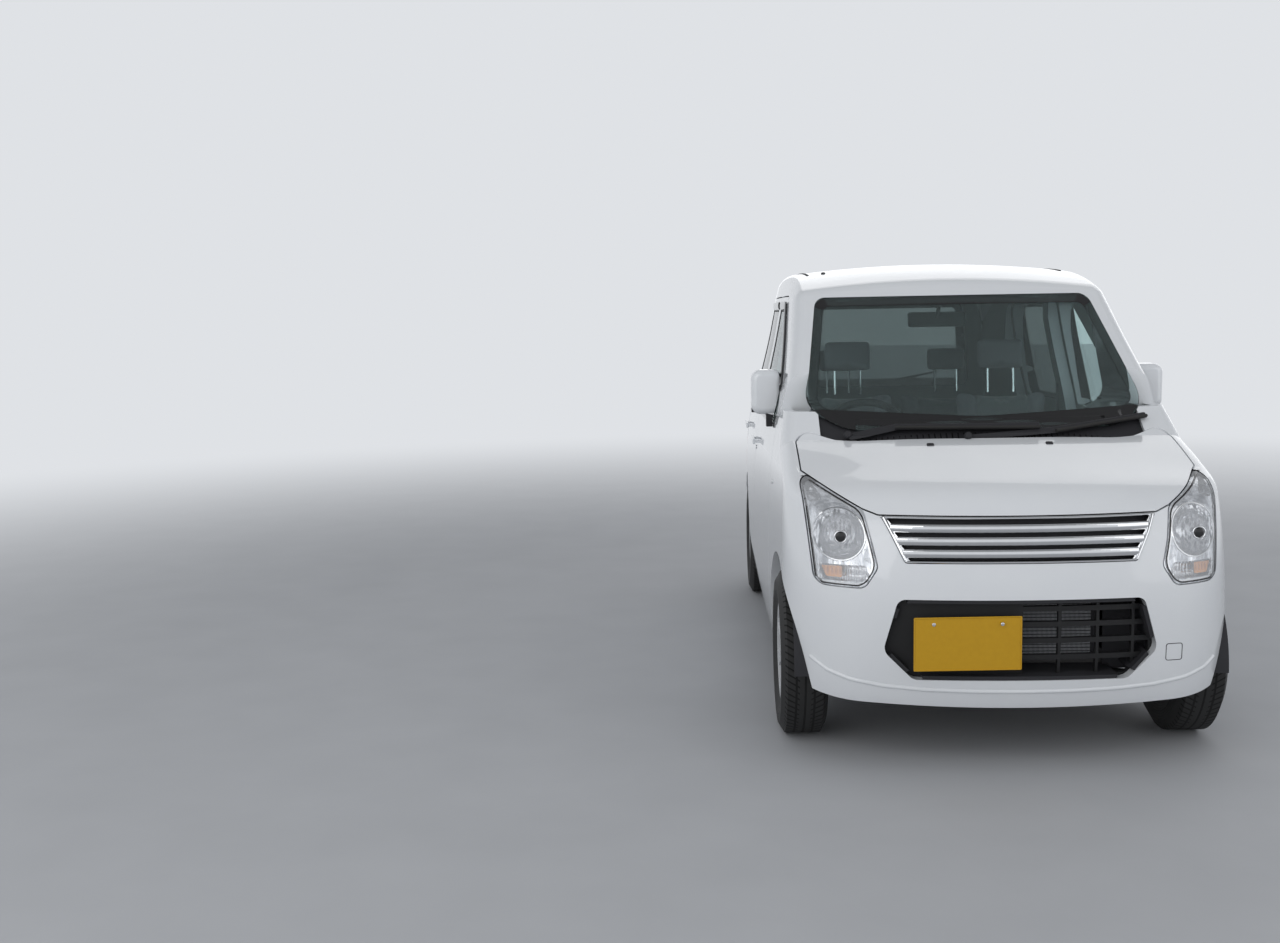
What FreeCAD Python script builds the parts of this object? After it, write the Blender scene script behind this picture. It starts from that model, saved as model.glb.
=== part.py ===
import FreeCAD, Part
import math
import os
import Sketcher
from FreeCAD import Placement, Rotation, Vector

# Driving dimensions: alias, millimetres or degrees, meaning
SIZES = (
    ("body_length", 3395, "bumper to bumper"),
    ("body_width", 1475, "widest part of the sides"),
    ("body_height", 1640, "roof crest above the ground"),
    ("wheelbase", 2425, "front axle to rear axle"),
    ("front_overhang", 505, "bumper to front axle"),
    ("front_track", 1295, "between front tyre centres"),
    ("rear_track", 1290, "between rear tyre centres"),
    ("tyre_radius", 278.5, "axle height and tread radius"),
    ("tyre_width", 155, "section width"),
    ("tread_width", 118, "flat of the tread"),
    ("rim_radius", 181, "tyre bore and rim seat"),
    ("rim_width", 130, "over the rim flanges"),
    ("rim_wall", 7, "barrel thickness"),
    ("cover_depth", 18, "wheel face thickness"),
    ("hub_radius", 46, "raised centre of the wheel"),
    ("hub_bore", 27, "hub spigot radius"),
    ("spoke_gap_inner", 84, "inner end of a wheel cover opening"),
    ("spoke_gap_outer", 158, "outer end of a wheel cover opening"),
    ("spoke_gap_foot", 15, "half width of an opening at its inner end"),
    ("spoke_gap_head", 37, "half width of an opening at its outer end"),
    ("spoke_count", 8, "openings in a wheel cover"),
    ("arch_radius", 345, "wheel opening in the side"),
    ("panel_gap", 5, "shut gap round doors and lids"),
    ("running_fit", 0.3, "clearance at pins, seats and glass edges"),
    ("lamp_gap", 4, "shut gap round a headlamp"),
    ("flange_width", 18, "door skin beyond the door's inner box"),
    ("door_wall", 60, "whole door thickness"),
    ("frame_wall", 110, "side structure thickness"),
    ("seal_step", 6, "gap behind a shut door"),
    ("frame_top_wall", 62, "roof rail thickness"),
    ("fender_wall", 40, "fender and bumper thickness"),
    ("hood_wall", 32, "hood thickness"),
    ("glass_inset", 3, "glass below the body surface"),
    ("glass_wall", 5, "glass thickness"),
    ("edge_round", 55, "radius along fender tops, pillars and roof rails"),
    ("header_round", 150, "radius from windscreen to roof"),
    ("softest_inset", 20, "inner walls deeper than this keep sharp corners"),
    ("sill_top", 330, "lower edge of the doors"),
    ("sill_bottom", 215, "lower edge of the body"),
    ("belt_line", 1030, "lower edge of the side windows"),
    ("door_top_drop", 132, "door frame top below the roof crest"),
    ("door_frame", 46, "window frame width"),
    ("front_door_length", 930, "front door at the belt"),
    ("rear_door_length", 830, "rear door at the belt"),
    ("door_setback", 400, "front axle to front door edge"),
    ("hinge_reach", 36, "door edge ahead of its hinge"),
    ("hinge_depth", 16, "hinge inside the body surface"),
    ("hinge_lean", 1, "degrees the door hinges lean inwards"),
    ("hinge_middle", 645, "height half way between a door's hinges"),
    ("hinge_apart", 350, "between a door's two hinges"),
    ("hinge_pin", 5, "door hinge pin radius"),
    ("hinge_barrel", 8, "door hinge barrel radius"),
    ("hinge_height", 22, "door hinge bracket height"),
    ("hinge_swing", 3, "notch beyond a hinge bracket"),
    ("handle_length", 170, "door handle front to rear"),
    ("handle_height", 24, "door handle height"),
    ("handle_proud", 26, "door handle out from the door"),
    ("handle_up", 905, "door handle above the ground"),
    ("hood_half", 645, "half width of the hood"),
    ("hood_front_up", 812, "hood front edge above the ground"),
    ("hood_rear_back", 548, "hood rear edge behind the nose"),
    ("roof_half", 520, "half width of the roof panel"),
    ("hood_pivot_back", 737.5, "hood pivot behind the nose"),
    ("hood_pivot_up", 1010, "hood pivot above the ground"),
    ("hood_arm_out", 572, "inner face of a hood arm off centre"),
    ("hood_arm_wall", 10, "hood arm thickness"),
    ("gate_hinge_out", 220, "tailgate hinge off centre"),
    ("gate_barrel", 7, "tailgate hinge barrel radius"),
    ("gate_pin", 3, "tailgate hinge pin radius"),
    ("tail_half", 562, "half width of the tailgate"),
    ("tail_sill", 560, "lower edge of the tailgate"),
    ("roof_rear_back", 3132, "rear edge of the roof behind the nose"),
    ("bumper_split", 682, "fender to bumper joint height"),
    ("floor_up", 190, "underside of the floor"),
    ("floor_wall", 20, "floor thickness"),
    ("floor_half", 585, "half width of the floor"),
    ("rear_floor_up", 330, "underside of the load floor"),
    ("rear_floor_half", 520, "half width of the load floor"),
    ("firewall_back", 870, "firewall behind the nose"),
    ("firewall_top", 930, "top of the firewall"),
    ("rail_half", 330, "inside of the front rails"),
    ("rail_width", 60, "width of a front rail"),
    ("rail_up", 380, "underside of the front rails"),
    ("rail_depth", 90, "height of a front rail"),
    ("engine_width", 520, "engine and gearbox across"),
    ("engine_depth", 330, "engine front to rear"),
    ("engine_height", 470, "engine sump to cover"),
    ("engine_up", 285, "sump above the ground"),
    ("engine_back", 320, "engine front behind the nose"),
    ("radiator_width", 560, "radiator across"),
    ("radiator_height", 330, "radiator height"),
    ("radiator_depth", 40, "radiator thickness"),
    ("radiator_back", 175, "radiator front behind the nose"),
    ("radiator_up", 330, "radiator underside"),
    ("tank_width", 560, "fuel tank across"),
    ("tank_depth", 330, "fuel tank front to rear"),
    ("tank_height", 128, "fuel tank height"),
    ("tank_ahead", 600, "fuel tank front ahead of the rear axle"),
    ("pipe_radius", 22, "exhaust pipe"),
    ("pipe_up", 160, "exhaust pipe above the ground"),
    ("pipe_out", 100, "exhaust pipe off centre"),
    ("silencer_width", 460, "rear silencer across"),
    ("silencer_depth", 160, "rear silencer front to rear"),
    ("silencer_height", 110, "rear silencer height"),
    ("silencer_up", 200, "rear silencer underside"),
    ("silencer_back", 190, "rear silencer front behind the rear axle"),
    ("tail_pipe_radius", 16, "tail pipe"),
    ("tail_pipe_out", 180, "tail pipe off centre"),
    ("beam_radius", 34, "torsion beam"),
    ("beam_ahead", 130, "torsion beam ahead of the rear axle"),
    ("arm_width", 44, "trailing arm"),
    ("arm_reach", 420, "trailing arm pivot ahead of the rear axle"),
    ("drum_radius", 95, "rear brake drum"),
    ("drum_width", 60, "rear brake drum"),
    ("rear_spring_radius", 48, "rear coil"),
    ("hub_clearance", 5, "carrier to wheel"),
    ("carrier_radius", 100, "hub carrier and brake"),
    ("carrier_width", 46, "hub carrier and brake thickness"),
    ("kingpin_inset", 62, "steering axis inside the tyre centre"),
    ("kingpin_lean", 12, "degrees the steering axis leans inwards"),
    ("strut_radius", 24, "damper tube"),
    ("spring_radius", 54, "spring seat and coil"),
    ("spring_start", 312, "spring seat above the axle, along the steering axis"),
    ("tower_radius", 78, "strut tower"),
    ("tower_start", 480, "strut tower foot above the axle, along the steering axis"),
    ("tower_top", 600, "strut tower top above the axle, along the steering axis"),
    ("tower_wall", 8, "strut tower sheet"),
    ("link_up", 165, "lower arm underside"),
    ("link_wall", 22, "lower arm thickness"),
    ("link_end", 16, "lower arm beyond its ball joint"),
    ("ball_radius", 9, "ball joint pin"),
    ("ball_play", 4, "lower arm bore beyond the leaning pin"),
    ("cross_up", 300, "radiator cross member underside"),
    ("cross_depth", 30, "radiator cross member height"),
    ("wheel_rim_radius", 184, "steering wheel"),
    ("wheel_grip_radius", 14, "steering wheel grip"),
    ("wheel_hub_radius", 62, "steering wheel centre pad"),
    ("wheel_lean", 27, "degrees from upright"),
    ("driver_x", 330, "seat and steering wheel off centre"),
    ("column_back", 1300, "steering wheel centre behind the nose"),
    ("column_up", 925, "steering wheel centre height"),
    ("column_radius", 28, "steering column cover"),
    ("column_length", 200, "steering column cover"),
    ("seat_width", 480, "front seat across"),
    ("seat_up", 440, "front seat cushion underside"),
    ("seat_top", 600, "front seat cushion front edge"),
    ("bench_top", 550, "rear bench cushion front edge"),
    ("seat_rail", 30, "seat rail and leg thickness"),
    ("bench_width", 1030, "rear bench across"),
    ("headrest_width", 230, "headrest across"),
    ("headrest_out", 270, "rear headrest off centre"),
    ("mirror_height", 170, "mirror housing"),
    ("mirror_width", 118, "mirror housing across"),
    ("mirror_depth", 78, "mirror housing front to rear"),
    ("mirror_out", 662, "mirror inner edge off centre"),
    ("mirror_up", 1058, "mirror underside"),
    ("mirror_back", 1095, "mirror front behind the nose"),
    ("mirror_round", 24, "mirror edge radius"),
    ("lid_size", 160, "fuel lid across"),
    ("lid_depth", 14, "fuel lid pivot inside the body surface"),
    ("lid_reach", 24, "fuel lid edge ahead of its pivot"),
    ("lid_pin", 2.5, "fuel lid pivot radius"),
    ("lid_up", 905, "fuel lid centre height"),
    ("lid_round_front", 8, "fuel lid corner radius at its hinge"),
    ("lid_round_rear", 40, "fuel lid corner radius at its free edge"),
    ("lid_back", 90, "fuel lid centre behind the rear axle"),
)

# Body stations: from 0 = ground or 1 = roof crest, height from there, side in from the widest,
# nose back, tail forward, nose radius, front corner, tail radius, rear corner, side radius
STATIONS = (
    (0, 160, 47, 67, 57, 2400, 240, 3000, 150, 60000),
    (0, 240, 21, 25, 17, 2400, 270, 3000, 170, 60000),
    (0, 420, 2, 0, 0, 2300, 290, 3000, 180, 60000),
    (0, 640, 0, 7, 7, 2200, 300, 3000, 180, 50000),
    (0, 860, 6, 57, 29, 2000, 300, 3000, 170, 40000),
    (0, 1000, 23, 97, 45, 1900, 290, 3000, 160, 30000),
    (0, 1180, 61, 127, 69, 1900, 280, 3000, 150, 20000),
    (1, -240, 107, 167, 117, 1900, 260, 3000, 140, 16000),
    (1, 20, 177, 227, 197, 1900, 240, 3000, 120, 14000),
)
# Hood control rows: back from the nose, height, plan sweep at the edges, crown
HOOD_ROWS = (
    (-62, 560, 230, 30), (-17, 690, 250, 30), (34, 812, 262, 30), (106, 887, 250, 32),
    (248, 922, 200, 36), (398, 964, 110, 40), (548, 1005, 50, 40), (698, 1042, 10, 40),
    (998, 1090, 0, 40),
)
# Windscreen control rows: back from the nose, height, plan sweep, crown
SCREEN_ROWS = (
    (258, 100, 170, 0), (258, 500, 170, 0), (298, 815, 170, 0), (498, 962, 165, 0),
    (798, 1190, 150, 0), (1198, 1500, 130, 0), (1498, 1735, 120, 0),
)
# Roof control rows: back from the nose, height above the crest, plan sweep, crown
ROOF_ROWS = (
    (498, -302, 0, 90), (898, -193, 0, 95), (1248, -83, 0, 95), (1548, -9, 0, 90),
    (1998, 4, 0, 85), (2698, -8, 0, 80), (3198, -43, 0, 80), (3598, -103, 0, 80),
)
SHEET_REACH = 900.0
SCREEN_SHIFT = 1.25
SIDE_MIDDLE = 100.0
DEGREE = 3

doc = FreeCAD.newDocument("kei_car")
sheet = doc.addObject("Spreadsheet::Sheet", "sizes")
for row, (alias, amount, meaning) in enumerate(SIZES, start=1):
    sheet.set("A%d" % row, str(amount))
    sheet.setAlias("A%d" % row, alias)
    sheet.set("B%d" % row, meaning)
doc.recompute()
nodes = []


def mm(name):
    """One size from the sheet."""
    return float(sheet.get(name))


def number(text):
    """What a sum of sheet names, such as "floor_up + floor_wall/2", comes to."""
    total, sign = 0.0, 1.0
    for word in text.split():
        if word in ("+", "-"):
            sign = -1.0 if word == "-" else 1.0
            continue
        name, _, share = word.partition("/")
        total += sign * mm(name) / float(share or 1)
        sign = 1.0
    return total


def negative(text):
    """The same sum with the other sign."""
    words = text.split() if text.startswith("- ") else ["+"] + text.split()
    turned = [{"+": "-", "-": "+"}.get(word, word) for word in words]
    return " ".join(turned[1:] if turned[0] == "+" else turned)


def formula(text):
    """The same sum as an expression on the sheet."""
    return " ".join(word if word in ("+", "-") else "sizes." + word for word in text.split())


nose = -mm("body_length") / 2
tail = mm("body_length") / 2
front_axle = nose + mm("front_overhang")
rear_axle = front_axle + mm("wheelbase")
crest = mm("body_height")
gap = mm("panel_gap")


def meet(c0, r0, c1, r1, ahead):
    """Where two circles cross, on the nose side or the tail side."""
    dx, dy = c1[0] - c0[0], c1[1] - c0[1]
    apart = math.hypot(dx, dy)
    along = (r0 * r0 - r1 * r1 + apart * apart) / (2 * apart)
    off = math.sqrt(max(r0 * r0 - along * along, 0.0))
    mx, my = c0[0] + along * dx / apart, c0[1] + along * dy / apart
    found = [(mx - off * dy / apart, my + off * dx / apart),
             (mx + off * dy / apart, my - off * dx / apart)]
    return min(found, key=lambda p: p[1]) if ahead else max(found, key=lambda p: p[1])


def towards(centre, through, radius):
    """The point at a radius from a centre, on the way to another point."""
    away = math.hypot(through[0] - centre[0], through[1] - centre[1])
    return (centre[0] + (through[0] - centre[0]) * radius / away,
            centre[1] + (through[1] - centre[1]) * radius / away)


def station(row, inset):
    """The closed outline of one body station: eight arcs that run into each other."""
    base, up, side_in, nose_back, tail_in, nose_r, nose_c, tail_r, tail_c, side_r = row
    z = up + base * crest
    half = mm("body_width") / 2 - side_in - inset
    front, rear = nose + nose_back + inset, tail - tail_in - inset
    nose_r, tail_r, side_r = nose_r - inset, tail_r - inset, side_r - inset
    nose_c, tail_c = max(nose_c - inset, 20), max(tail_c - inset, 20)
    at_nose, at_tail, at_side = (0.0, front + nose_r), (0.0, rear - tail_r), (half - side_r, SIDE_MIDDLE)
    fore = meet(at_nose, nose_r - nose_c, at_side, side_r - nose_c, True)
    aft = meet(at_tail, tail_r - tail_c, at_side, side_r - tail_c, False)
    nose_end, side_start = towards(at_nose, fore, nose_r), towards(at_side, fore, side_r)
    tail_end, side_end = towards(at_tail, aft, tail_r), towards(at_side, aft, side_r)

    def bow(centre, a, b, radius):
        return towards(centre, ((a[0] + b[0]) / 2, (a[1] + b[1]) / 2), radius)

    fore_mid = bow(fore, nose_end, side_start, nose_c)
    aft_mid = bow(aft, side_end, tail_end, tail_c)
    side_mid = bow(at_side, side_start, side_end, side_r)

    def arc(*points):
        return Part.Arc(*[Vector(x, y, z) for x, y in points]).toShape()

    def left(p):
        return (-p[0], p[1])

    return Part.Wire([
        arc(left(nose_end), (0, front), nose_end), arc(nose_end, fore_mid, side_start),
        arc(side_start, side_mid, side_end), arc(side_end, aft_mid, tail_end),
        arc(tail_end, (0, rear), left(tail_end)), arc(left(tail_end), left(aft_mid), left(side_end)),
        arc(left(side_end), left(side_mid), left(side_start)),
        arc(left(side_start), left(fore_mid), left(nose_end))])


def bent_sheet(rows, reach):
    """A smooth sheet across the car from control rows of (y, z, plan sweep, crown)."""
    share = (reach / SHEET_REACH) ** 2
    poles = [[Vector(-reach, y + sweep * share, z - crown * share),
              Vector(0, y - sweep * share, z + crown * share),
              Vector(reach, y + sweep * share, z - crown * share)] for y, z, sweep, crown in rows]
    inner = len(rows) - DEGREE - 1
    knots = [float(i) for i in range(inner + 2)]
    repeats = [DEGREE + 1] + [1] * inner + [DEGREE + 1]
    surface = Part.BSplineSurface()
    surface.buildFromPolesMultsKnots(poles, repeats, [3, 3], knots, [0.0, 1.0], False, False, DEGREE, 2)
    return surface.toShape()


def block(x0, x1, y0, y1, z0, z1):
    return Part.makeBox(x1 - x0, y1 - y0, z1 - z0, Vector(x0, y0, z0))


WIDE = 1200.0
hulls = {}


def hull(inset, top_inset=None):
    """The whole body form, drawn in by an inset at the sides and another at the top."""
    top_inset = inset if top_inset is None else top_inset
    key = (inset, top_inset)
    if key in hulls:
        return hulls[key]
    ring = Part.makeLoft([station(row, inset) for row in STATIONS], True, False)
    hood = bent_sheet([(nose + back, up - top_inset, sweep, crown)
                       for back, up, sweep, crown in HOOD_ROWS], SHEET_REACH - 20)
    screen = bent_sheet([(nose + back + top_inset * SCREEN_SHIFT, up, sweep, crown)
                         for back, up, sweep, crown in SCREEN_ROWS], SHEET_REACH)
    roof = bent_sheet([(nose + back, crest + up - top_inset, sweep, crown)
                       for back, up, sweep, crown in ROOF_ROWS], SHEET_REACH + 10)
    top = roof.extrude(Vector(0, 0, -crest)).common(screen.extrude(Vector(0, 3800, 0))).Solids[0]
    header = [e for e in top.Edges if abs(e.CenterOfMass.x) < 1 and e.BoundBox.ZMin > crest - 340
              and e.BoundBox.YMax < 0]
    top = top.makeFillet(max(mm("header_round") - top_inset, 20), header).Solids[0]
    top = top.fuse(hood.extrude(Vector(0, 0, 300 - crest))).Solids[0]
    form = ring.common(top).Solids[0]
    if 0 <= inset < mm("softest_inset"):
        edges = []
        for face in form.Faces:
            middle = face.CenterOfMass
            if abs(middle.x) < 1 and middle.z > 800 and middle.y < tail - 300:
                edges += [e for e in face.Edges if e.BoundBox.YLength > 1 and
                          (abs(e.CenterOfMass.x) > 200 or e.BoundBox.YMin > tail - 400
                           or e.BoundBox.YMax < nose + 300)]
        form = form.makeFillet(mm("edge_round") - inset, edges).Solids[0]
    hulls[key] = form
    return form


def prism(axis, corners, start, end):
    """A rounded outline pushed along an axis; corners are (across, up, radius)."""
    def point(a, b):
        return {"X": Vector(start, a, b), "Y": Vector(a, start, b), "Z": Vector(a, b, start)}[axis]

    edges, joins = [], []
    count = len(corners)
    for i, (a, b, radius) in enumerate(corners):
        before, after = corners[i - 1], corners[(i + 1) % count]
        back = Vector(before[0] - a, before[1] - b, 0)
        on = Vector(after[0] - a, after[1] - b, 0)
        turn = math.pi - back.getAngle(on)
        if radius == 0 or turn < 0.01:
            joins.append((point(a, b), point(a, b)))
            continue
        cut = min(radius * math.tan(turn / 2), 0.49 * min(back.Length, on.Length))
        radius = cut / math.tan(turn / 2)
        back.normalize()
        on.normalize()
        middle = (back + on).normalize() * (radius / math.cos(turn / 2) - radius)
        first, last = point(a + back.x * cut, b + back.y * cut), point(a + on.x * cut, b + on.y * cut)
        edges.append(Part.Arc(first, point(a + middle.x, b + middle.y), last).toShape())
        joins.append((first, last))
    for i in range(count):
        here, there = joins[i][1], joins[(i + 1) % count][0]
        if (here - there).Length > 1e-6:
            edges.append(Part.LineSegment(here, there).toShape())
    face = Part.Face(Part.Wire(Part.sortEdges(edges)[0]))
    along = {"X": Vector(end - start, 0, 0), "Y": Vector(0, end - start, 0), "Z": Vector(0, 0, end - start)}
    return face.extrude(along[axis])


def cylinder(axis, centre, radius, start, end):
    """A round bar along an axis; centre is the other two coordinates."""
    a, b = centre
    at = {"X": Vector(start, a, b), "Y": Vector(a, start, b), "Z": Vector(a, b, start)}[axis]
    to = {"X": Vector(1, 0, 0), "Y": Vector(0, 1, 0), "Z": Vector(0, 0, 1)}[axis]
    return Part.makeCylinder(radius, end - start, at, to)


def panel(outer, inner, keep, drop=()):
    """The part of the body skin between two hulls, inside keep and outside every drop."""
    shape = hull(*outer).common(keep)
    for tool in (hull(*inner),) + tuple(drop):
        shape = shape.cut(tool)
    return shape


def rind(outer, inner, keep):
    """What lies between two hulls inside a tool, for use as a cutter."""
    return hull(*outer).common(keep).cut(hull(*inner))


def mirrored(shape):
    return shape.mirror(Vector(0, 0, 0), Vector(1, 0, 0))


def grow(corners, by):
    """Outline corners moved out from the outline's middle line by a margin, for convex outlines."""
    count = len(corners)
    area = sum(corners[i - 1][0] * corners[i][1] - corners[i][0] * corners[i - 1][1] for i in range(count))
    side = 1.0 if area > 0 else -1.0
    grown = []
    for i, (a, b, radius) in enumerate(corners):
        before, after = corners[i - 1], corners[(i + 1) % count]
        into = Vector(a - before[0], b - before[1], 0).normalize()
        out = Vector(after[0] - a, after[1] - b, 0).normalize()
        n1, n2 = Vector(into.y, -into.x, 0) * side, Vector(out.y, -out.x, 0) * side
        both = n1 + n2
        both = both * (by * 2 / both.Length ** 2)
        grown.append((a + both.x, b + both.y, max(radius + by, 0) if radius else 0))
    return grown


def leaning(base, lean, radius, low, high):
    """A round bar on an axis that leans inwards, from low to high along it."""
    along = Vector(-math.sin(math.radians(lean)), 0, math.cos(math.radians(lean)))
    return Part.makeCylinder(radius, high - low, base + along * low, along)


def skin_x(y, z):
    """How far out the body surface is on the left side."""
    return hull(*OUTER).common(Part.makeLine(Vector(0, y, z), Vector(WIDE, y, z))).BoundBox.XMax


def skin_z(x, y):
    """How high the body surface is."""
    return hull(*OUTER).common(Part.makeLine(Vector(x, y, 0), Vector(x, y, WIDE * 2))).BoundBox.ZMax


def keep_shape(label, shape):
    """A sub-part whose surface comes from the body form."""
    feature = doc.addObject("Part::Feature", label)
    feature.Label = label
    feature.Shape = shape
    feature.Placement = Placement()
    nodes.append(feature)
    return feature


# Body outlines, as (y, z, radius) from the side and (x, z, radius) from the front
FAR = 2500.0
door_front = front_axle + mm("door_setback")
pillar = door_front + mm("front_door_length")
door_top = crest - mm("door_top_drop")
sill, belt = mm("sill_top"), mm("belt_line")
door_rear = pillar + gap + mm("rear_door_length")
axle_up = mm("tyre_radius")
FRAME = mm("door_frame")
SCREEN_FOOT = (door_front, 1080.0)
SCREEN_HEAD = (nose + 1472.0, door_top)

front_door = [(door_front, sill, 40), (door_front, 1080, 60), (SCREEN_HEAD[0], door_top, 90),
              (pillar, door_top, 12), (pillar, sill, 30)]
rear_door = [(pillar + gap, sill, 30), (pillar + gap, door_top, 12), (door_rear - 60, door_top, 130),
             (door_rear, 1150, 200), (door_rear, sill, 10)]
arch_clear = mm("arch_radius") + 26
front_window = [(door_front + 92, belt, 20), (door_front + 92, belt + 60, 40),
                (SCREEN_HEAD[0] + 22, door_top - FRAME, 40), (pillar - 55, door_top - FRAME, 14),
                (pillar - 55, belt, 14)]
rear_window = [(pillar + gap + 50, belt, 14), (pillar + gap + 50, door_top - FRAME, 14),
               (door_rear - 112, door_top - FRAME, 90), (door_rear - 62, 1150, 160),
               (door_rear - 62, belt, 30)]
screen_glass = [(-600, 1100, 90), (-470, 1032, 200), (470, 1032, 200), (600, 1100, 90),
                (523, 1500, 45), (-523, 1500, 45)]
lamp = [(661, 925, 24), (477, 824, 40), (439, 650, 30), (479, 589, 30), (626, 593, 40)]
tail_line = [(-mm("tail_half"), mm("tail_sill"), 60), (-mm("tail_half"), 1180, 300),
             (-500, FAR, 0), (500, FAR, 0), (mm("tail_half"), 1180, 300),
             (mm("tail_half"), mm("tail_sill"), 60)]
tail_window = [(-470, 1040, 60), (-430, 1490, 60), (430, 1490, 60), (470, 1040, 60)]
roof_rear = nose + mm("roof_rear_back")
lamp_inner = mm("tail_half") + gap
tail_lamp = [(lamp_inner, 640, 20), (lamp_inner, 985, 40), (760, 985, 10), (760, 640, 10)]
grille_line = [(-422, 808, 6), (422, 808, 6), (354, 669, 14), (-354, 669, 14)]
lower_line = [(-377, 555, 30), (377, 555, 30), (423, 391, 40), (330, 299, 40), (-330, 299, 40),
              (-423, 391, 40)]

OUTER = (0, 0)
DOOR_IN = (mm("door_wall"), 40)
STEP_IN = (mm("door_wall") + mm("seal_step"), 46)
FRAME_IN = (mm("frame_wall"), mm("frame_top_wall"))
PROUD = (-20, -20)
COWL_OUT = (16, 16)
WIPER_OUT = (-14, -14)
SKIN_IN = (mm("fender_wall"), mm("hood_wall"))
GLASS_OUT = (mm("glass_inset"), mm("glass_inset"))
GLASS_IN = (mm("glass_inset") + mm("glass_wall"), mm("glass_inset") + mm("glass_wall"))


def arch(axle, radius, start=500.0, end=800.0):
    """A wheel opening on the left side."""
    return cylinder("X", (axle, axle_up), radius, start, end)


def along_x(corners, start=300.0, end=900.0):
    return prism("X", corners, start, end)


# Doors with their windows, hinge pins and handles
fit = mm("running_fit")
flange = mm("flange_width")
hinge_heights = [mm("hinge_middle") - mm("hinge_apart") / 2, mm("hinge_middle") + mm("hinge_apart") / 2]
half_pin = mm("hinge_height") / 2 + mm("hinge_swing")
DOORS = (
    # name, outline, window, front edge, whether the wheel arch cuts it
    ("front", front_door, front_window, door_front, False),
    ("rear", rear_door, rear_window, pillar + gap, True),
)


def wheel_cut(radius):
    """What a rear wheel arch takes out of the left side."""
    return arch(rear_axle, radius, 200, 1000)


def hinge_base(edge):
    """The middle of a door's hinge axis, from the door's front edge."""
    y = edge + mm("hinge_reach")
    return Vector(skin_x(y, mm("hinge_middle")) - mm("hinge_depth"), y, mm("hinge_middle"))


def hinge_at(base, height):
    """The hinge axis at a height above the ground."""
    return base.x - (height - base.z) * math.tan(math.radians(mm("hinge_lean")))


def hinge_notch(base, edge, height):
    """The room in a door for one hinge bracket and its swing."""
    reach = mm("hinge_barrel") + mm("hinge_swing") / 2
    x = hinge_at(base, height)
    return block(x - 200, x + reach, edge - 1, base.y + reach, height - half_pin, height + half_pin)


def hinge_bracket(base, height):
    """The arm and barrel that a pillar carries."""
    x, tall = hinge_at(base, height), mm("hinge_height")
    root = x + mm("hinge_depth") - STEP_IN[0] - mm("hinge_barrel")
    arm = block(root, x, base.y - 7, base.y + 5, height - tall / 2, height + tall / 2)
    low, high = height - base.z - tall / 2, height - base.z + tall / 2
    lean = mm("hinge_lean")
    barrel = leaning(base, lean, mm("hinge_barrel"), low, high)
    return arm.fuse(barrel).cut(leaning(base, lean, mm("hinge_pin") + fit, low - 5, high + 5))


def door_handle(rear_edge):
    """A bar handle on two posts, on the left side."""
    y1 = rear_edge - 40
    y0, up, tall = y1 - mm("handle_length"), mm("handle_up"), mm("handle_height")
    skin = skin_x((y0 + y1) / 2, up)
    bar_out = skin + mm("handle_proud")
    bar = block(bar_out - 11, bar_out, y0, y1, up - tall / 2, up + tall / 2)
    bar = bar.makeFillet(4, bar.Edges)
    for foot in (y0 + 4, y1 - 30):
        bar = bar.fuse(block(skin - 8, bar_out - 5, foot, foot + 26, up - 7, up + 7))
    return bar


hinges = {}
for name, outline, window, edge, arched in DOORS:
    skin = hull(*OUTER).common(along_x(outline)).cut(hull(*COWL_OUT))
    inner = hull(*COWL_OUT).common(along_x(grow(outline, -flange))).cut(hull(*DOOR_IN))
    if arched:
        skin, inner = skin.cut(wheel_cut(arch_clear)), inner.cut(wheel_cut(arch_clear + flange))
    solid = skin.fuse(inner).cut(along_x(window))
    base = hinge_base(edge)
    hinges[name] = base
    for height in hinge_heights:
        solid = solid.cut(hinge_notch(base, edge, height))
        low, high = height - base.z - half_pin - 4, height - base.z + half_pin + 4
        solid = solid.fuse(leaning(base, mm("hinge_lean"), mm("hinge_pin"), low, high))
    solid = max(solid.fuse(door_handle(outline[-2][0] if name == "front" else door_rear)).Solids,
                key=lambda s: s.Volume)
    keep_shape(name + "_door_left", solid)
    keep_shape(name + "_door_right", mirrored(solid))
    glass = panel(GLASS_OUT, GLASS_IN, along_x(grow(window, -fit)))
    keep_shape(name + "_glass_left", glass)
    keep_shape(name + "_glass_right", mirrored(glass))

# Side frames with their door openings, hinge brackets and fuel filler recess
both_doors = [front_door, rear_door]
opening = [along_x(grow(line, gap)) for line in both_doors]
opening[1] = opening[1].cut(wheel_cut(arch_clear - gap))
jamb = 42.0
passage = [along_x(grow(line, -jamb)) for line in both_doors]
passage[1] = passage[1].cut(wheel_cut(arch_clear + jamb))
half = mm("lid_size") / 2
lid_y, lid_z = rear_axle + mm("lid_back"), mm("lid_up")
hinge_round, free_round = mm("lid_round_front"), mm("lid_round_rear")
lid_line = [(lid_y - half, lid_z - half, hinge_round), (lid_y - half, lid_z + half, hinge_round),
            (lid_y + half, lid_z + half, free_round), (lid_y + half, lid_z - half, free_round)]
screen_hole = prism("Y", screen_glass, nose, 0)
tail_hole = prism("Y", grow(tail_line, gap), roof_rear - gap, tail + 300)
lamp_seat = prism("Y", grow(tail_lamp, fit), rear_axle + 200, tail + 300)
side_box = block(mm("roof_half"), WIDE, door_front - 5, tail + 100, mm("sill_bottom"), 2000)
side = hull(*OUTER).common(side_box).cut(hull(*FRAME_IN))
for tool in opening:
    side = side.cut(rind(PROUD, STEP_IN, tool))
side = side.cut(passage[0]).cut(passage[1])
recess = rind(PROUD, DOOR_IN, along_x(grow(lid_line, gap)))
bumper_top = mm("tail_sill")
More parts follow.
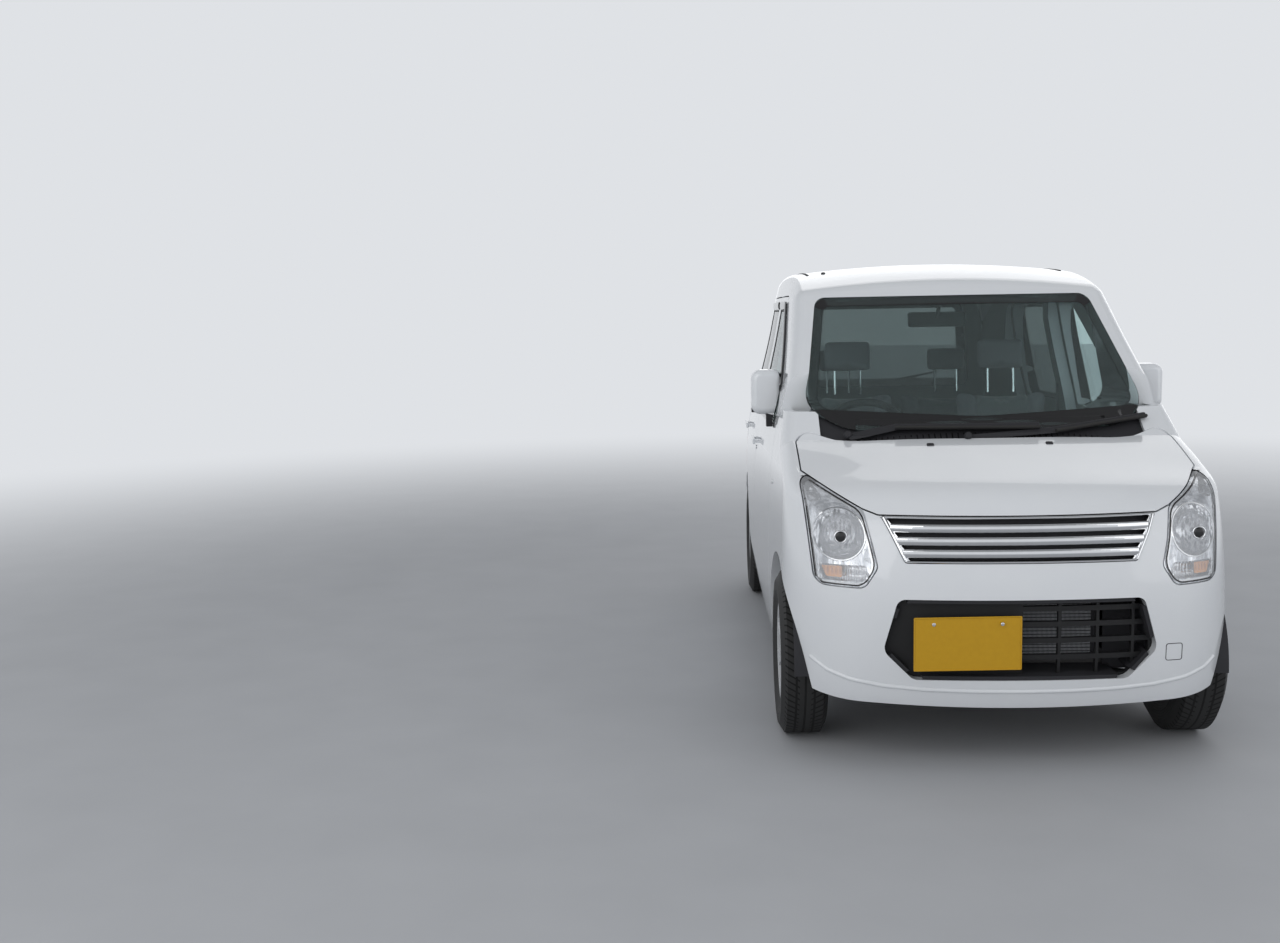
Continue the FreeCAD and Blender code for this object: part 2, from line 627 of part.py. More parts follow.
rear_low = block(-WIDE, WIDE, rear_axle + 300, tail + 300, 0, bumper_top)
for tool in (screen_hole, tail_hole, arch(rear_axle, mm("arch_radius")), recess, rear_low,
             rind(PROUD, STEP_IN, lamp_seat)):
    side = side.cut(tool)
side = max(side.Solids, key=lambda s: s.Volume)
floor_top = mm("floor_up") + mm("floor_wall")
sill_y0, sill_y1 = nose + mm("firewall_back") + 40, rear_axle - mm("tank_ahead") - 40
side = side.fuse(block(mm("floor_half") - 25, mm("body_width") / 2 - mm("frame_wall"), sill_y0, sill_y1,
                       floor_top, floor_top + 16))
for base in hinges.values():
    for height in hinge_heights:
        side = side.fuse(hinge_bracket(base, height))
lid_pivot_y = lid_y - half + mm("lid_reach")
lid_base = Vector(skin_x(lid_pivot_y, lid_z) - mm("lid_depth"), lid_pivot_y, lid_z)
skin_drop = skin_x(lid_pivot_y, lid_z - half) - skin_x(lid_pivot_y, lid_z + half)
lid_lean = math.degrees(math.atan2(skin_drop, mm("lid_size")))
LID_EAR, LID_ARM_IN, LID_ARM_OUT, LID_BARREL = 8, 9, 15, 4
recess_floor = lid_base.x + mm("lid_depth") - mm("door_wall")
for low, high in ((LID_ARM_IN, LID_ARM_OUT), (-LID_ARM_OUT, -LID_ARM_IN)):
    arm = block(recess_floor - 5, lid_base.x, lid_pivot_y - 3, lid_pivot_y + 3, lid_z + low, lid_z + high)
    arm = arm.fuse(leaning(lid_base, lid_lean, LID_BARREL, low, high))
    side = side.fuse(arm.cut(leaning(lid_base, lid_lean, mm("lid_pin") + fit, low - 2, high + 2)))
side = max(side.Solids, key=lambda s: s.Volume)
keep_shape("body_side_left", side)
keep_shape("body_side_right", mirrored(side))
lid = panel(OUTER, GLASS_IN, along_x(lid_line))
ear = block(lid_base.x, lid_base.x + mm("lid_depth") - 6, lid_pivot_y - 4, lid_pivot_y + 4,
            lid_z - LID_EAR, lid_z + LID_EAR)
ear = ear.fuse(leaning(lid_base, lid_lean, LID_BARREL, -LID_EAR, LID_EAR))
ear = ear.fuse(leaning(lid_base, lid_lean, mm("lid_pin"), -LID_ARM_OUT, LID_ARM_OUT))
keep_shape("fuel_lid", lid.fuse(ear).Solids[0])

# Roof, windscreen and tailgate
roof_box = block(-mm("roof_half"), mm("roof_half"), nose + 900, roof_rear, 1380, 2000)
gate_y = roof_rear + gap / 2
gate_z = skin_z(0, gate_y)
barrel, gate_pin = mm("gate_barrel"), mm("gate_pin")
GATE_EAR, ROOF_EAR_IN, ROOF_EAR_OUT = 8, 9, 15


def gate_ear(x0, x1, way):
    """A tailgate hinge ear and its barrel, reaching forwards or backwards from the axis."""
    line = [(gate_y, gate_z + barrel, 0), (gate_y + way * 12, gate_z + barrel - 2, 6),
            (gate_y + way * 32, gate_z - 6, 0), (gate_y + way * 32, gate_z - 22, 0),
            (gate_y + way * 8, gate_z - 22, 0), (gate_y, gate_z - barrel, 0)]
    return prism("X", line, x0, x1).fuse(cylinder("X", (gate_y, gate_z), barrel, x0, x1))


def gate_round(x0, x1, radius):
    return cylinder("X", (gate_y, gate_z), radius, x0, x1)


roof = panel(OUTER, DOOR_IN, roof_box, [screen_hole])
gate_ears = []
for middle in (-mm("gate_hinge_out"), mm("gate_hinge_out")):
    roof = roof.cut(gate_round(middle - ROOF_EAR_IN, middle + ROOF_EAR_IN, barrel + 1.3))
    for side_way in (-1, 1):
        near, far = sorted((middle + side_way * ROOF_EAR_IN, middle + side_way * ROOF_EAR_OUT))
        roof = roof.fuse(gate_ear(near, far, -1).cut(gate_round(near - 1, far + 1, gate_pin + fit)))
    ear = gate_ear(middle - GATE_EAR, middle + GATE_EAR, 1)
    gate_ears.append(ear.fuse(gate_round(middle - ROOF_EAR_OUT, middle + ROOF_EAR_OUT, gate_pin)))
keep_shape("roof", roof.Solids[0])
glass_box = prism("Y", grow(screen_glass, -fit), nose + 300, 0)
keep_shape("windscreen", panel(GLASS_OUT, GLASS_IN, glass_box))
gate_box = prism("Y", tail_line, roof_rear + gap, tail + 300).common(
    block(-WIDE, WIDE, roof_rear + gap, tail + 300, 0, 2000))
gate_hole = prism("Y", tail_window, rear_axle, tail + 300)
gate = panel(OUTER, DOOR_IN, gate_box, [gate_hole])
for middle, ear in zip((-mm("gate_hinge_out"), mm("gate_hinge_out")), gate_ears):
    gate = gate.cut(gate_round(middle - ROOF_EAR_OUT - 1, middle + ROOF_EAR_OUT + 1, barrel + 1.3)).fuse(ear)
keep_shape("tailgate", gate.Solids[0])
keep_shape("tailgate_glass", panel(GLASS_OUT, GLASS_IN,
                                   prism("Y", grow(tail_window, -fit), rear_axle, tail + 300)))
lamp_box = prism("Y", tail_lamp, rear_axle + 210, tail + 300)
lamp_left = panel(OUTER, DOOR_IN, lamp_box)
keep_shape("tail_lamps", Part.makeCompound([lamp_left, mirrored(lamp_left)]))

# Hood with its two arms
lamp_gap = mm("lamp_gap")
tip, corner = lamp[0], lamp[1]
hood_front_up = mm("hood_front_up")
hood_edge = [(-760, 986, 0), (-tip[0], tip[1] + gap, 0), (-corner[0], corner[1] + gap, 30),
             (-430, hood_front_up, 30), (430, hood_front_up, 30), (corner[0], corner[1] + gap, 30),
             (tip[0], tip[1] + gap, 0), (760, 986, 0), (760, FAR, 0), (-760, FAR, 0)]
rear_y = nose + mm("hood_rear_back")
hood_half = mm("hood_half")


def hood_outline(half_width, rear):
    """The hood seen from above: its sides and its bowed rear edge."""
    return [(-half_width, nose - 200, 0), (half_width, nose - 200, 0), (half_width, rear + 130, 40),
            (470, rear + 28, 300), (0, rear, 2000), (-470, rear + 28, 300), (-half_width, rear + 130, 40)]


def lower(corners, by):
    return [(a, b - by if b < FAR else b, r) for a, b, r in corners]


hood_keep = prism("Z", hood_outline(hood_half, rear_y), 500, 1400).common(
    prism("Y", hood_edge, nose - 200, 0))
hood_space = prism("Z", hood_outline(hood_half + gap, rear_y + gap), 500, 1400).common(
    prism("Y", lower(hood_edge, gap), nose - 200, 0))
front_only = block(-WIDE, WIDE, nose - 100, rear_y + 300, 500, 1400)
hood = panel(OUTER, SKIN_IN, hood_keep.common(front_only))
pivot_y, pivot_z = nose + mm("hood_pivot_back"), mm("hood_pivot_up")
arm_in, arm_out = mm("hood_arm_out"), mm("hood_arm_out") + mm("hood_arm_wall")
ARM_LINE = [(pivot_y + 9, pivot_z, 0), (pivot_y + 7, pivot_z - 113, 20), (pivot_y - 172, pivot_z - 117, 20),
            (pivot_y - 172, pivot_z + 40, 0), (pivot_y - 146, pivot_z + 40, 0),
            (pivot_y - 146, pivot_z - 93, 12), (pivot_y - 13, pivot_z - 90, 12), (pivot_y - 9, pivot_z, 0)]
hood_arm = prism("X", ARM_LINE, arm_in, arm_out).fuse(cylinder("X", (pivot_y, pivot_z), 9, arm_in, arm_out))
hood_arm = hood_arm.cut(cylinder("X", (pivot_y, pivot_z), mm("hinge_pin") + fit, arm_in - 1, arm_out + 1))
hood_arm = hood_arm.common(hull(*COWL_OUT))
keep_shape("hood", hood.fuse(hood_arm).fuse(mirrored(hood_arm)).Solids[0])

# Fenders, bumpers and lamps
lamp_hole = prism("Y", grow(lamp, fit), nose - 200, front_axle - 60).fuse(
    rind(PROUD, COWL_OUT, prism("Y", grow(lamp, lamp_gap), nose - 200, front_axle - 60)))
split = mm("bumper_split")
lamp_side = 560.0
fender_line = [(front_axle - 420, split, 0), (front_axle - 420, 1000, 0),
               (door_front - gap - 230, 1400, 0), (door_front - gap, 1400, 0),
               (door_front - gap, mm("sill_bottom"), 0), (front_axle, mm("sill_bottom"), 0),
               (front_axle, split, 0)]
fender_box = along_x(fender_line, lamp_side).cut(block(0, 900, nose, door_front, 1092, 1600))
fender = panel(OUTER, SKIN_IN, fender_box,
               [hood_space, lamp_hole, screen_hole, arch(front_axle, mm("arch_radius"))])
fender = max(fender.Solids, key=lambda s: s.Volume)
hood_bracket = block(arm_out + 2, arm_out + 14, pivot_y - 15, pivot_y + 15, pivot_z - 12, pivot_z + 90)
fender = fender.fuse(hood_bracket.common(hull(*COWL_OUT))).fuse(
    cylinder("X", (pivot_y, pivot_z), mm("hinge_pin"), arm_in - 2, arm_out + 14)).Solids[0]
keep_shape("front_fenders", Part.makeCompound([fender, mirrored(fender)]))

bumper_side = [(nose - 100, hood_front_up + 60, 0), (nose - 100, 190, 0), (nose, 195, 0),
               (front_axle - 300, 252, 0), (front_axle, 260, 0), (front_axle, split, 0),
               (front_axle - 420, split, 0), (front_axle - 420, 900, 0)]
bumper_box = prism("X", bumper_side, -900, 900).fuse(
    block(-lamp_side, lamp_side, nose - 100, front_axle - 200, split, 900))
arch_both = cylinder("X", (front_axle, axle_up), mm("arch_radius"), -900, 900)
lamp_right = mirrored(lamp_hole)
grille_hole = prism("Y", grow(grille_line, fit), nose - 200, nose + 300)
lower_hole = prism("Y", lower_line, nose - 200, nose + 300)
bumper = panel(OUTER, SKIN_IN, bumper_box,
               [hood_space, lamp_hole, lamp_right, grille_hole, lower_hole, arch_both])
bumper = max(bumper.Solids, key=lambda s: s.Volume)
keep_shape("front_bumper", bumper)

# Upper grille: four slots between bright bars, each slot as (top, bottom) height
SLOTS = ((802, 783), (762, 744), (724, 708), (685, 673))
grille_top, grille_foot = grille_line[1], grille_line[2]
slot_margin = 12.0


def grille_half(z):
    """Half width of the grille at a height."""
    share = (z - grille_foot[1]) / (grille_top[1] - grille_foot[1])
    return grille_foot[0] + share * (grille_top[0] - grille_foot[0])


slots = []
for top_z, low_z in SLOTS:
    far, near = grille_half(top_z) - slot_margin, grille_half(low_z) - slot_margin - 6
    slots.append(prism("Y", [(-far, top_z, 3), (far, top_z, 3), (near, low_z, 5), (-near, low_z, 5)],
                       nose - 200, nose + 300))
keep_shape("upper_grille", panel(OUTER, COWL_OUT, prism("Y", grille_line, nose - 100, nose + 300), slots))

# Lower grille: a plate behind the number plate, a lattice on the car's left
ROWS = ((549, 527), (511, 478), (462, 426), (410, 373), (357, 309))
COLUMNS = ((8, 118), (127, 237), (246, 350), (359, 405))
windows = [prism("Y", [(x0, z1, 3), (x0, z0, 3), (x1, z0, 3), (x1, z1, 3)], nose - 200, nose + 300)
           for z1, z0 in ROWS for x0, x1 in COLUMNS]
lattice = panel(SKIN_IN, DOOR_IN, prism("Y", grow(lower_line, 20), nose - 100, nose + 300))
inside = prism("Y", grow(lower_line, -4), nose - 200, nose + 300)
keep_shape("lower_grille", lattice.cut(Part.makeCompound(windows).common(inside)))

# Headlamps: a body with a reflector bowl and two pockets, under a clear lens
BOWL_X, BOWL_Z, BOWL_RADIUS, BOWL_BACK = 551, 748, 76, 105
bowl = Part.makeSphere(BOWL_RADIUS, Vector(BOWL_X, nose + BOWL_BACK, BOWL_Z)).fuse(
    cylinder("Y", (BOWL_X, BOWL_Z), BOWL_RADIUS - 1, nose - 100, nose + BOWL_BACK))
SIGNAL_LINE = [(466, 657, 14), (474, 606, 16), (600, 606, 16), (616, 657, 14)]
TIP_LINE = [(588, 850, 12), (640, 838, 12), (644, 888, 14), (630, 896, 14)]
lamp_body = panel(GLASS_OUT, FRAME_IN, prism("Y", lamp, nose - 100, front_axle - 80),
                  [cylinder("X", (front_axle, axle_up), mm("arch_radius") + 8, 300, 900)])
pockets = rind(PROUD, SKIN_IN, prism("Y", SIGNAL_LINE, nose - 200, front_axle).fuse(
    prism("Y", TIP_LINE, nose - 200, front_axle)))
lamp_body = max(lamp_body.cut(bowl).cut(pockets).Solids, key=lambda s: s.Volume)
lens = panel(OUTER, GLASS_OUT, prism("Y", lamp, nose - 100, front_axle - 80))
keep_shape("headlamps", Part.makeCompound([lamp_body, mirrored(lamp_body)]))
keep_shape("headlamp_lenses", Part.makeCompound([lens, mirrored(lens)]))

cowl_box = block(fit - lamp_side, lamp_side - fit, rear_y - 30, rear_y + 260, 600, 1130)
cowl = panel(COWL_OUT, SKIN_IN, cowl_box, [hood_space, prism("Y", grow(screen_glass, 2), nose, 0)])
cowl = max(cowl.Solids, key=lambda s: s.Volume)
keep_shape("cowl", cowl)
WIPERS = ((-470, 1018, -300, 1042, 190, 1044), (-60, 1016, 236, 1026, 580, 1066))
wipers = []
for foot_x, foot_z, mid_x, mid_z, tip_x, tip_z in WIPERS:
    line = [(foot_x - 12, foot_z, 0), (mid_x, mid_z + 10, 0), (tip_x, tip_z + 8, 0),
            (tip_x, tip_z - 8, 0), (mid_x, mid_z - 8, 0), (foot_x + 12, foot_z - 16, 0)]
    wipers.append(panel(WIPER_OUT, GLASS_OUT, prism("Y", line, nose + 300, 0),
                        [hood_space, fender, mirrored(fender)]))
keep_shape("wipers", Part.makeCompound(wipers))

tail_band = block(-WIDE, WIDE, rear_axle, tail + 100, 230, bumper_top - gap)
rear_arch = cylinder("X", (rear_axle, axle_up), mm("arch_radius"), -900, 900)
bumper = panel(OUTER, SKIN_IN, tail_band.common(
    block(-WIDE, WIDE, rear_axle + 300, tail + 100, 0, 900)), [rear_arch])
keep_shape("rear_bumper", bumper)

dash_line = [(door_front - 10, 780, 0), (door_front - 10, mm("firewall_top") + 4, 0),
             (door_front - 130, mm("firewall_top") + 4, 0), (door_front - 120, 982, 30),
             (door_front + 120, 985, 60), (door_front + 260, 940, 50), (door_front + 230, 760, 40),
             (door_front + 60, 700, 30)]
dash = hull(*FRAME_IN).common(prism("X", dash_line, -900, 900))
lean = math.radians(mm("wheel_lean"))
column_way = Vector(0, -math.cos(lean), -math.sin(lean))
helm_centre = Vector(-mm("driver_x"), nose + mm("column_back"), mm("column_up"))
column = Part.makeCylinder(mm("column_radius"), mm("column_length"),
                           helm_centre + column_way * (mm("wheel_grip_radius") + fit), column_way)
keep_shape("dashboard", dash.fuse(column).Solids[0])


def steer_bar(radius, low, high):
    """A round bar along the left steering axis."""
    base = Vector(mm("front_track") / 2 - mm("kingpin_inset"), front_axle, axle_up)
    return leaning(base, mm("kingpin_lean"), radius, low, high)


# Wheel arch liners: a half tube each, the rear ones closed towards the load floor
LINER_WALL = 5
DISC_IN, DISC_OUT = 524, 530
liner_radius = mm("arch_radius") - fit
liner = []
for axle, inner_x in ((front_axle, mm("rail_half") + mm("rail_width") + 10 + fit), (rear_axle, DISC_IN)):
    tube = cylinder("X", (axle, axle_up), liner_radius, inner_x, 690).cut(
        cylinder("X", (axle, axle_up), liner_radius - LINER_WALL, inner_x - 10, 700))
    liner.append(tube)
liner[0] = liner[0].cut(steer_bar(mm("tower_radius") - mm("tower_wall"), 100, mm("tower_top")))
liner[1] = liner[1].fuse(cylinder("X", (rear_axle, axle_up), liner_radius, DISC_IN, DISC_OUT).cut(
    cylinder("X", (rear_axle, axle_up), mm("hub_bore") * 2, DISC_IN, DISC_OUT)))
for i, axle in enumerate((front_axle, rear_axle)):
    liner[i] = liner[i].cut(block(0, 900, axle - 400, axle + 400, -200, axle_up))
keep_shape("arch_liners", Part.makeCompound(liner + [mirrored(s) for s in liner]))

# Inner aprons with the strut towers
rail_out = mm("rail_half") + mm("rail_width")
rail_low = mm("rail_up")
firewall_y = nose + mm("firewall_back")
apron = along_x([(front_axle - 287, rail_low, 0), (front_axle - 287, 760, 60), (front_axle, 880, 200),
                 (firewall_y, 900, 0), (firewall_y, rail_low, 0)], rail_out, rail_out + 10)
apron = apron.fuse(steer_bar(mm("tower_radius"), mm("tower_start"), mm("tower_top")))
tower_web = [(front_axle - 70, 745, 0), (front_axle - 70, 800, 30), (front_axle, 865, 60),
             (front_axle + 70, 865, 0), (front_axle + 70, 745, 0)]
apron = apron.fuse(along_x(tower_web, rail_out + 5, rail_out + 50))
apron = apron.cut(steer_bar(mm("tower_radius") - 2 * mm("tower_wall"), mm("tower_start") - 10,
                            mm("tower_top") - mm("tower_wall")))
apron = max(apron.Solids, key=lambda s: s.Volume)
keep_shape("front_aprons", Part.makeCompound([apron, mirrored(apron)]))


def origin_plane(body, role):
    """One of a body's own origin planes."""
    return next(f for f in body.Origin.OriginFeatures if f.Role == role)


def new_body(label):
    body = doc.addObject("PartDesign::Body", label)
    body.Label = label
    return body


def place(thing, x="", y="", z=""):
    """Bind a placement to sums of sheet names."""
    for letter, text in (("x", x), ("y", y), ("z", z)):
        if text:
            thing.setExpression("Placement.Base." + letter, formula(text))


def tie(sketch, index, text, kind, point=1):
    """Hold one coordinate of a vertex at a sum of sheet names, or on the axis."""
    if not text:
        line = -2 if kind == "DistanceX" else -1
        sketch.addConstraint(Sketcher.Constraint("PointOnObject", index, point, line))
        return
    at = sketch.addConstraint(Sketcher.Constraint(kind, -1, 1, index, point, number(text)))
    sketch.setExpression("Constraints[%d]" % at, formula(text))


def new_sketch(body, role, name, lift=""):
    sketch = body.newObject("Sketcher::SketchObject", name)
    sketch.AttachmentSupport = (origin_plane(body, role), "")
    sketch.MapMode = "FlatFace"
    if lift:
        sketch.setExpression("AttachmentOffset.Base.z", formula(lift))
    return sketch


def draw(body, role, name, corners, lift=""):
    """A closed straight outline whose corners are pairs of sums of sheet names."""
    sketch = new_sketch(body, role, name, lift)
    points = [Vector(number(a), number(b), 0) for a, b in corners]
    for start, end in zip(points, points[1:] + points[:1]):
        sketch.addGeometry(Part.LineSegment(start, end), False)
    for i in range(len(points)):
        sketch.addConstraint(Sketcher.Constraint("Coincident", i, 2, (i + 1) % len(points), 1))
    for i, (a, b) in enumerate(corners):
        tie(sketch, i, a, "DistanceX")
        tie(sketch, i, b, "DistanceY")
    return sketch


def draw_circles(body, role, name, circles, lift=""):
    """Circles as (across, up, radius), each a sum of sheet names."""
    sketch = new_sketch(body, role, name, lift)
    for i, (a, b, radius) in enumerate(circles):
        centre = Vector(number(a), number(b), 0)
        sketch.addGeometry(Part.Circle(centre, Vector(0, 0, 1), number(radius)), False)
        tie(sketch, i, a, "DistanceX", 3)
        tie(sketch, i, b, "DistanceY", 3)
        at = sketch.addConstraint(Sketcher.Constraint("Radius", i, number(radius)))
        sketch.setExpression("Constraints[%d]" % at, formula(radius))
    return sketch


def pad(body, sketch, length, middle=False, back=False):
    feature = body.newObject("PartDesign::Pad", "Pad")
    feature.Profile = sketch
    feature.setExpression("Length", formula(length))
    feature.Midplane = middle
    feature.Reversed = back
    return feature


def pocket(body, sketch, length, middle=False, back=False):
    doc.recompute()
    before = body.Shape.Volume
    feature = body.newObject("PartDesign::Pocket", "Pocket")
    feature.Profile = sketch
    feature.setExpression("Length", formula(length))
    feature.Midplane = middle
    feature.Reversed = back
    doc.recompute()
    if body.Shape.Volume > before - 1:
        raise RuntimeError("pocket cuts nothing in " + body.Label)
    return feature


def revolve(body, sketch, axis="H_Axis"):
    feature = body.newObject("PartDesign::Revolution", "Revolution")
    feature.Profile = sketch
    feature.ReferenceAxis = (sketch, [axis])
    feature.Angle = 360
    return feature


def keep_body(body):
    nodes.append(body)
    return body


def box_body(label, x, y, z, dx, dy, dz):
    """A plain block: low corner and sides as sums of sheet names."""
    thing = doc.addObject("Part::Box", label)
    thing.Label = label
    for side_name, text in (("Length", dx), ("Width", dy), ("Height", dz)):
        thing.setExpression(side_name, formula(text))
    place(thing, x, y, z)
    return keep_body(thing)


# Floor, firewall and front rails
floor = new_body("floor_pan")
NOSE = "- body_length/2"
FLOOR_FRONT = NOSE + " + firewall_back"
TANK_FRONT = NOSE + " + front_overhang + wheelbase - tank_ahead"
FLOOR_REAR = "body_length/2 - frame_wall"
RADIATOR_FRONT = NOSE + " + radiator_back"
RADIATOR_REAR = RADIATOR_FRONT + " + radiator_depth"
HALF_FRONT, HALF_REAR = "front_track/2", "rear_track/2"
FRONT_AXLE = NOSE + " + front_overhang"
REAR_AXLE = FRONT_AXLE + " + wheelbase"
ARM_PIVOT = REAR_AXLE + " - arm_reach"
pad(floor, draw(floor, "XY_Plane", "FloorPlan", [
    ("- floor_half", FLOOR_FRONT), ("floor_half", FLOOR_FRONT),
    ("floor_half", TANK_FRONT), ("- floor_half", TANK_FRONT)], "floor_up"), "floor_wall")
pad(floor, draw(floor, "XZ_Plane", "Firewall", [
    ("- floor_half", "floor_up"), ("floor_half", "floor_up"),
    ("floor_half", "firewall_top"), ("- floor_half", "firewall_top")],
    "body_length/2 - firewall_back - floor_wall"), "floor_wall")
pad(floor, draw(floor, "XZ_Plane", "Riser", [
    ("- floor_half", "floor_up"), ("floor_half", "floor_up"),
    ("floor_half", "rear_floor_up + floor_wall"), ("- floor_half", "rear_floor_up + floor_wall")],
    "body_length/2 - front_overhang - wheelbase + tank_ahead - floor_wall"), "floor_wall")
pad(floor, draw(floor, "XY_Plane", "LoadFloor", [
    ("- rear_floor_half", TANK_FRONT), ("rear_floor_half", TANK_FRONT),
    ("rear_floor_half", FLOOR_REAR), ("- rear_floor_half", FLOOR_REAR)], "rear_floor_up"), "floor_wall")
pad(floor, draw(floor, "XZ_Plane", "RearPanel", [
    ("- rear_floor_half", "rear_floor_up"), ("rear_floor_half", "rear_floor_up"),
    ("rear_floor_half", "tail_sill - panel_gap"), ("- rear_floor_half", "tail_sill - panel_gap")],
    "frame_wall - body_length/2"), "floor_wall")
pad(floor, draw(floor, "XY_Plane", "CrossMember", [
    ("- rail_half - rail_width", RADIATOR_FRONT), ("rail_half + rail_width", RADIATOR_FRONT),
    ("rail_half + rail_width", RADIATOR_REAR), ("- rail_half - rail_width", RADIATOR_REAR)],
    "cross_up"), "cross_depth")
BLOCKS = (
    # name, inside, outside, front, rear, underside, height
    ("Rail", "rail_half", "rail_half + rail_width", RADIATOR_FRONT, FLOOR_FRONT + " + floor_wall/2",
     "rail_up", "rail_depth"),
    ("Upright", "rail_half", "rail_half + rail_width", RADIATOR_FRONT, RADIATOR_REAR, "cross_up",
     "rail_up - cross_up"),
    ("EngineMount", "engine_width/2", "rail_half + rail_width/2", FRONT_AXLE + " - carrier_width",
     FRONT_AXLE + " + carrier_width", "rail_up + rail_depth/2", "rail_depth/2"),
    ("ArmBracket", "rear_floor_half - arm_width", "rear_floor_half", ARM_PIVOT, ARM_PIVOT + " + arm_width",
     "tyre_radius - beam_radius + arm_width + running_fit",
     "rear_floor_up - tyre_radius + beam_radius - arm_width - running_fit"),
)
for name, inside, outside, front, rear, low, height in BLOCKS:
    for side_name, near, far in (("Left", inside, outside), ("Right", negative(outside), negative(inside))):
        pad(floor, draw(floor, "XY_Plane", name + side_name, [
            (near, front), (far, front), (far, rear), (near, rear)], low), height)
keep_body(floor)

box_body("engine", "- engine_width/2", NOSE + " + engine_back", "engine_up",
         "engine_width", "engine_depth", "engine_height")
box_body("radiator", "- radiator_width/2", NOSE + " + radiator_back", "radiator_up",
         "radiator_width", "radiator_depth", "radiator_height")
box_body("fuel_tank", "- tank_width/2", TANK_FRONT + " + floor_wall",
         "rear_floor_up - tank_height - running_fit", "tank_width", "tank_depth", "tank_height")

# Wheels and tyres, drawn about their own axle
TYRE = [("- rim_width/2", "rim_radius"), ("- tyre_width/2", "rim_radius + tyre_radius/9"),
        ("- tyre_width/2", "tyre_radius - tyre_radius/9"), ("- tread_width/2", "tyre_radius"),
        ("tread_width/2", "tyre_radius"), ("tyre_width/2", "tyre_radius - tyre_radius/9"),
        ("tyre_width/2", "rim_radius + tyre_radius/9"), ("rim_width/2", "rim_radius")]
RIM = [("- rim_width/2", "rim_radius - rim_wall"), ("rim_width/2 - cover_depth", "rim_radius - rim_wall"),
       ("rim_width/2 - cover_depth/2 - cover_depth", "hub_radius"),
       ("rim_width/2 - cover_depth/2 - cover_depth", ""), ("rim_width/2 - cover_depth/2", ""),
       ("rim_width/2 - cover_depth/2", "hub_radius"), ("rim_width/2", "rim_radius"),
       ("- rim_width/2", "rim_radius")]
SPOKE_GAP = [("spoke_gap_inner", "spoke_gap_foot"), ("spoke_gap_inner", "- spoke_gap_foot"),
             ("spoke_gap_outer", "- spoke_gap_head"), ("spoke_gap_outer", "spoke_gap_head")]
CORNERS = (("front_left", 1, HALF_FRONT, FRONT_AXLE), ("front_right", -1, HALF_FRONT, FRONT_AXLE),
           ("rear_left", 1, HALF_REAR, REAR_AXLE), ("rear_right", -1, HALF_REAR, REAR_AXLE))
for name, side_sign, half_track, axle in CORNERS:
    across = half_track if side_sign > 0 else "- " + half_track
    tyre = new_body("tyre_" + name)
    revolve(tyre, draw(tyre, "XY_Plane", "Section", TYRE))
    place(tyre, across, axle, "tyre_radius")
    keep_body(tyre)
    wheel = new_body("wheel_" + name)
    revolve(wheel, draw(wheel, "XY_Plane", "Section", RIM))
    opening_cut = pocket(wheel, draw(wheel, "YZ_Plane", "SpokeGap", SPOKE_GAP), "rim_width", middle=True)
    ring = wheel.newObject("PartDesign::PolarPattern", "Openings")
    ring.Originals = [opening_cut]
    ring.Axis = (origin_plane(wheel, "X_Axis"), [""])
    ring.Angle = 360
    ring.setExpression("Occurrences", formula("spoke_count"))
    wheel.Tip = ring
    if side_sign < 0:
        wheel.Placement = Placement(Vector(0, 0, 0), Rotation(Vector(0, 0, 1), 180))
    place(wheel, across, axle, "tyre_radius")
    keep_body(wheel)

# Steering knuckles: brake and carrier, hub spigot, arm, strut with its spring, ball pin
disc_x = (mm("front_track") + mm("rim_width")) / 2 - mm("cover_depth") * 1.5
carrier_x = disc_x - mm("hub_clearance") - mm("carrier_width")
knuckle = cylinder("X", (front_axle, axle_up), mm("carrier_radius"), carrier_x, disc_x - mm("hub_clearance"))
strut_top = mm("tower_top") - mm("tower_wall") - fit
for bar in (cylinder("X", (front_axle, axle_up), mm("hub_bore"), carrier_x, disc_x - fit),
            block(carrier_x - 75, carrier_x + 6, front_axle - 20, front_axle + 20, axle_up + 52, axle_up + 96),
            block(carrier_x - 44, carrier_x + 4, front_axle - 22, front_axle + 22,
                  mm("link_up") + mm("link_wall") + gap, axle_up - 62),
            steer_bar(mm("strut_radius"), 60, strut_top),
            steer_bar(mm("spring_radius"), mm("spring_start"), strut_top),
            steer_bar(mm("ball_radius"), -122, -70)):
    knuckle = knuckle.fuse(bar)
keep_shape("knuckle_left", knuckle.Solids[0])
keep_shape("knuckle_right", mirrored(knuckle.Solids[0]))

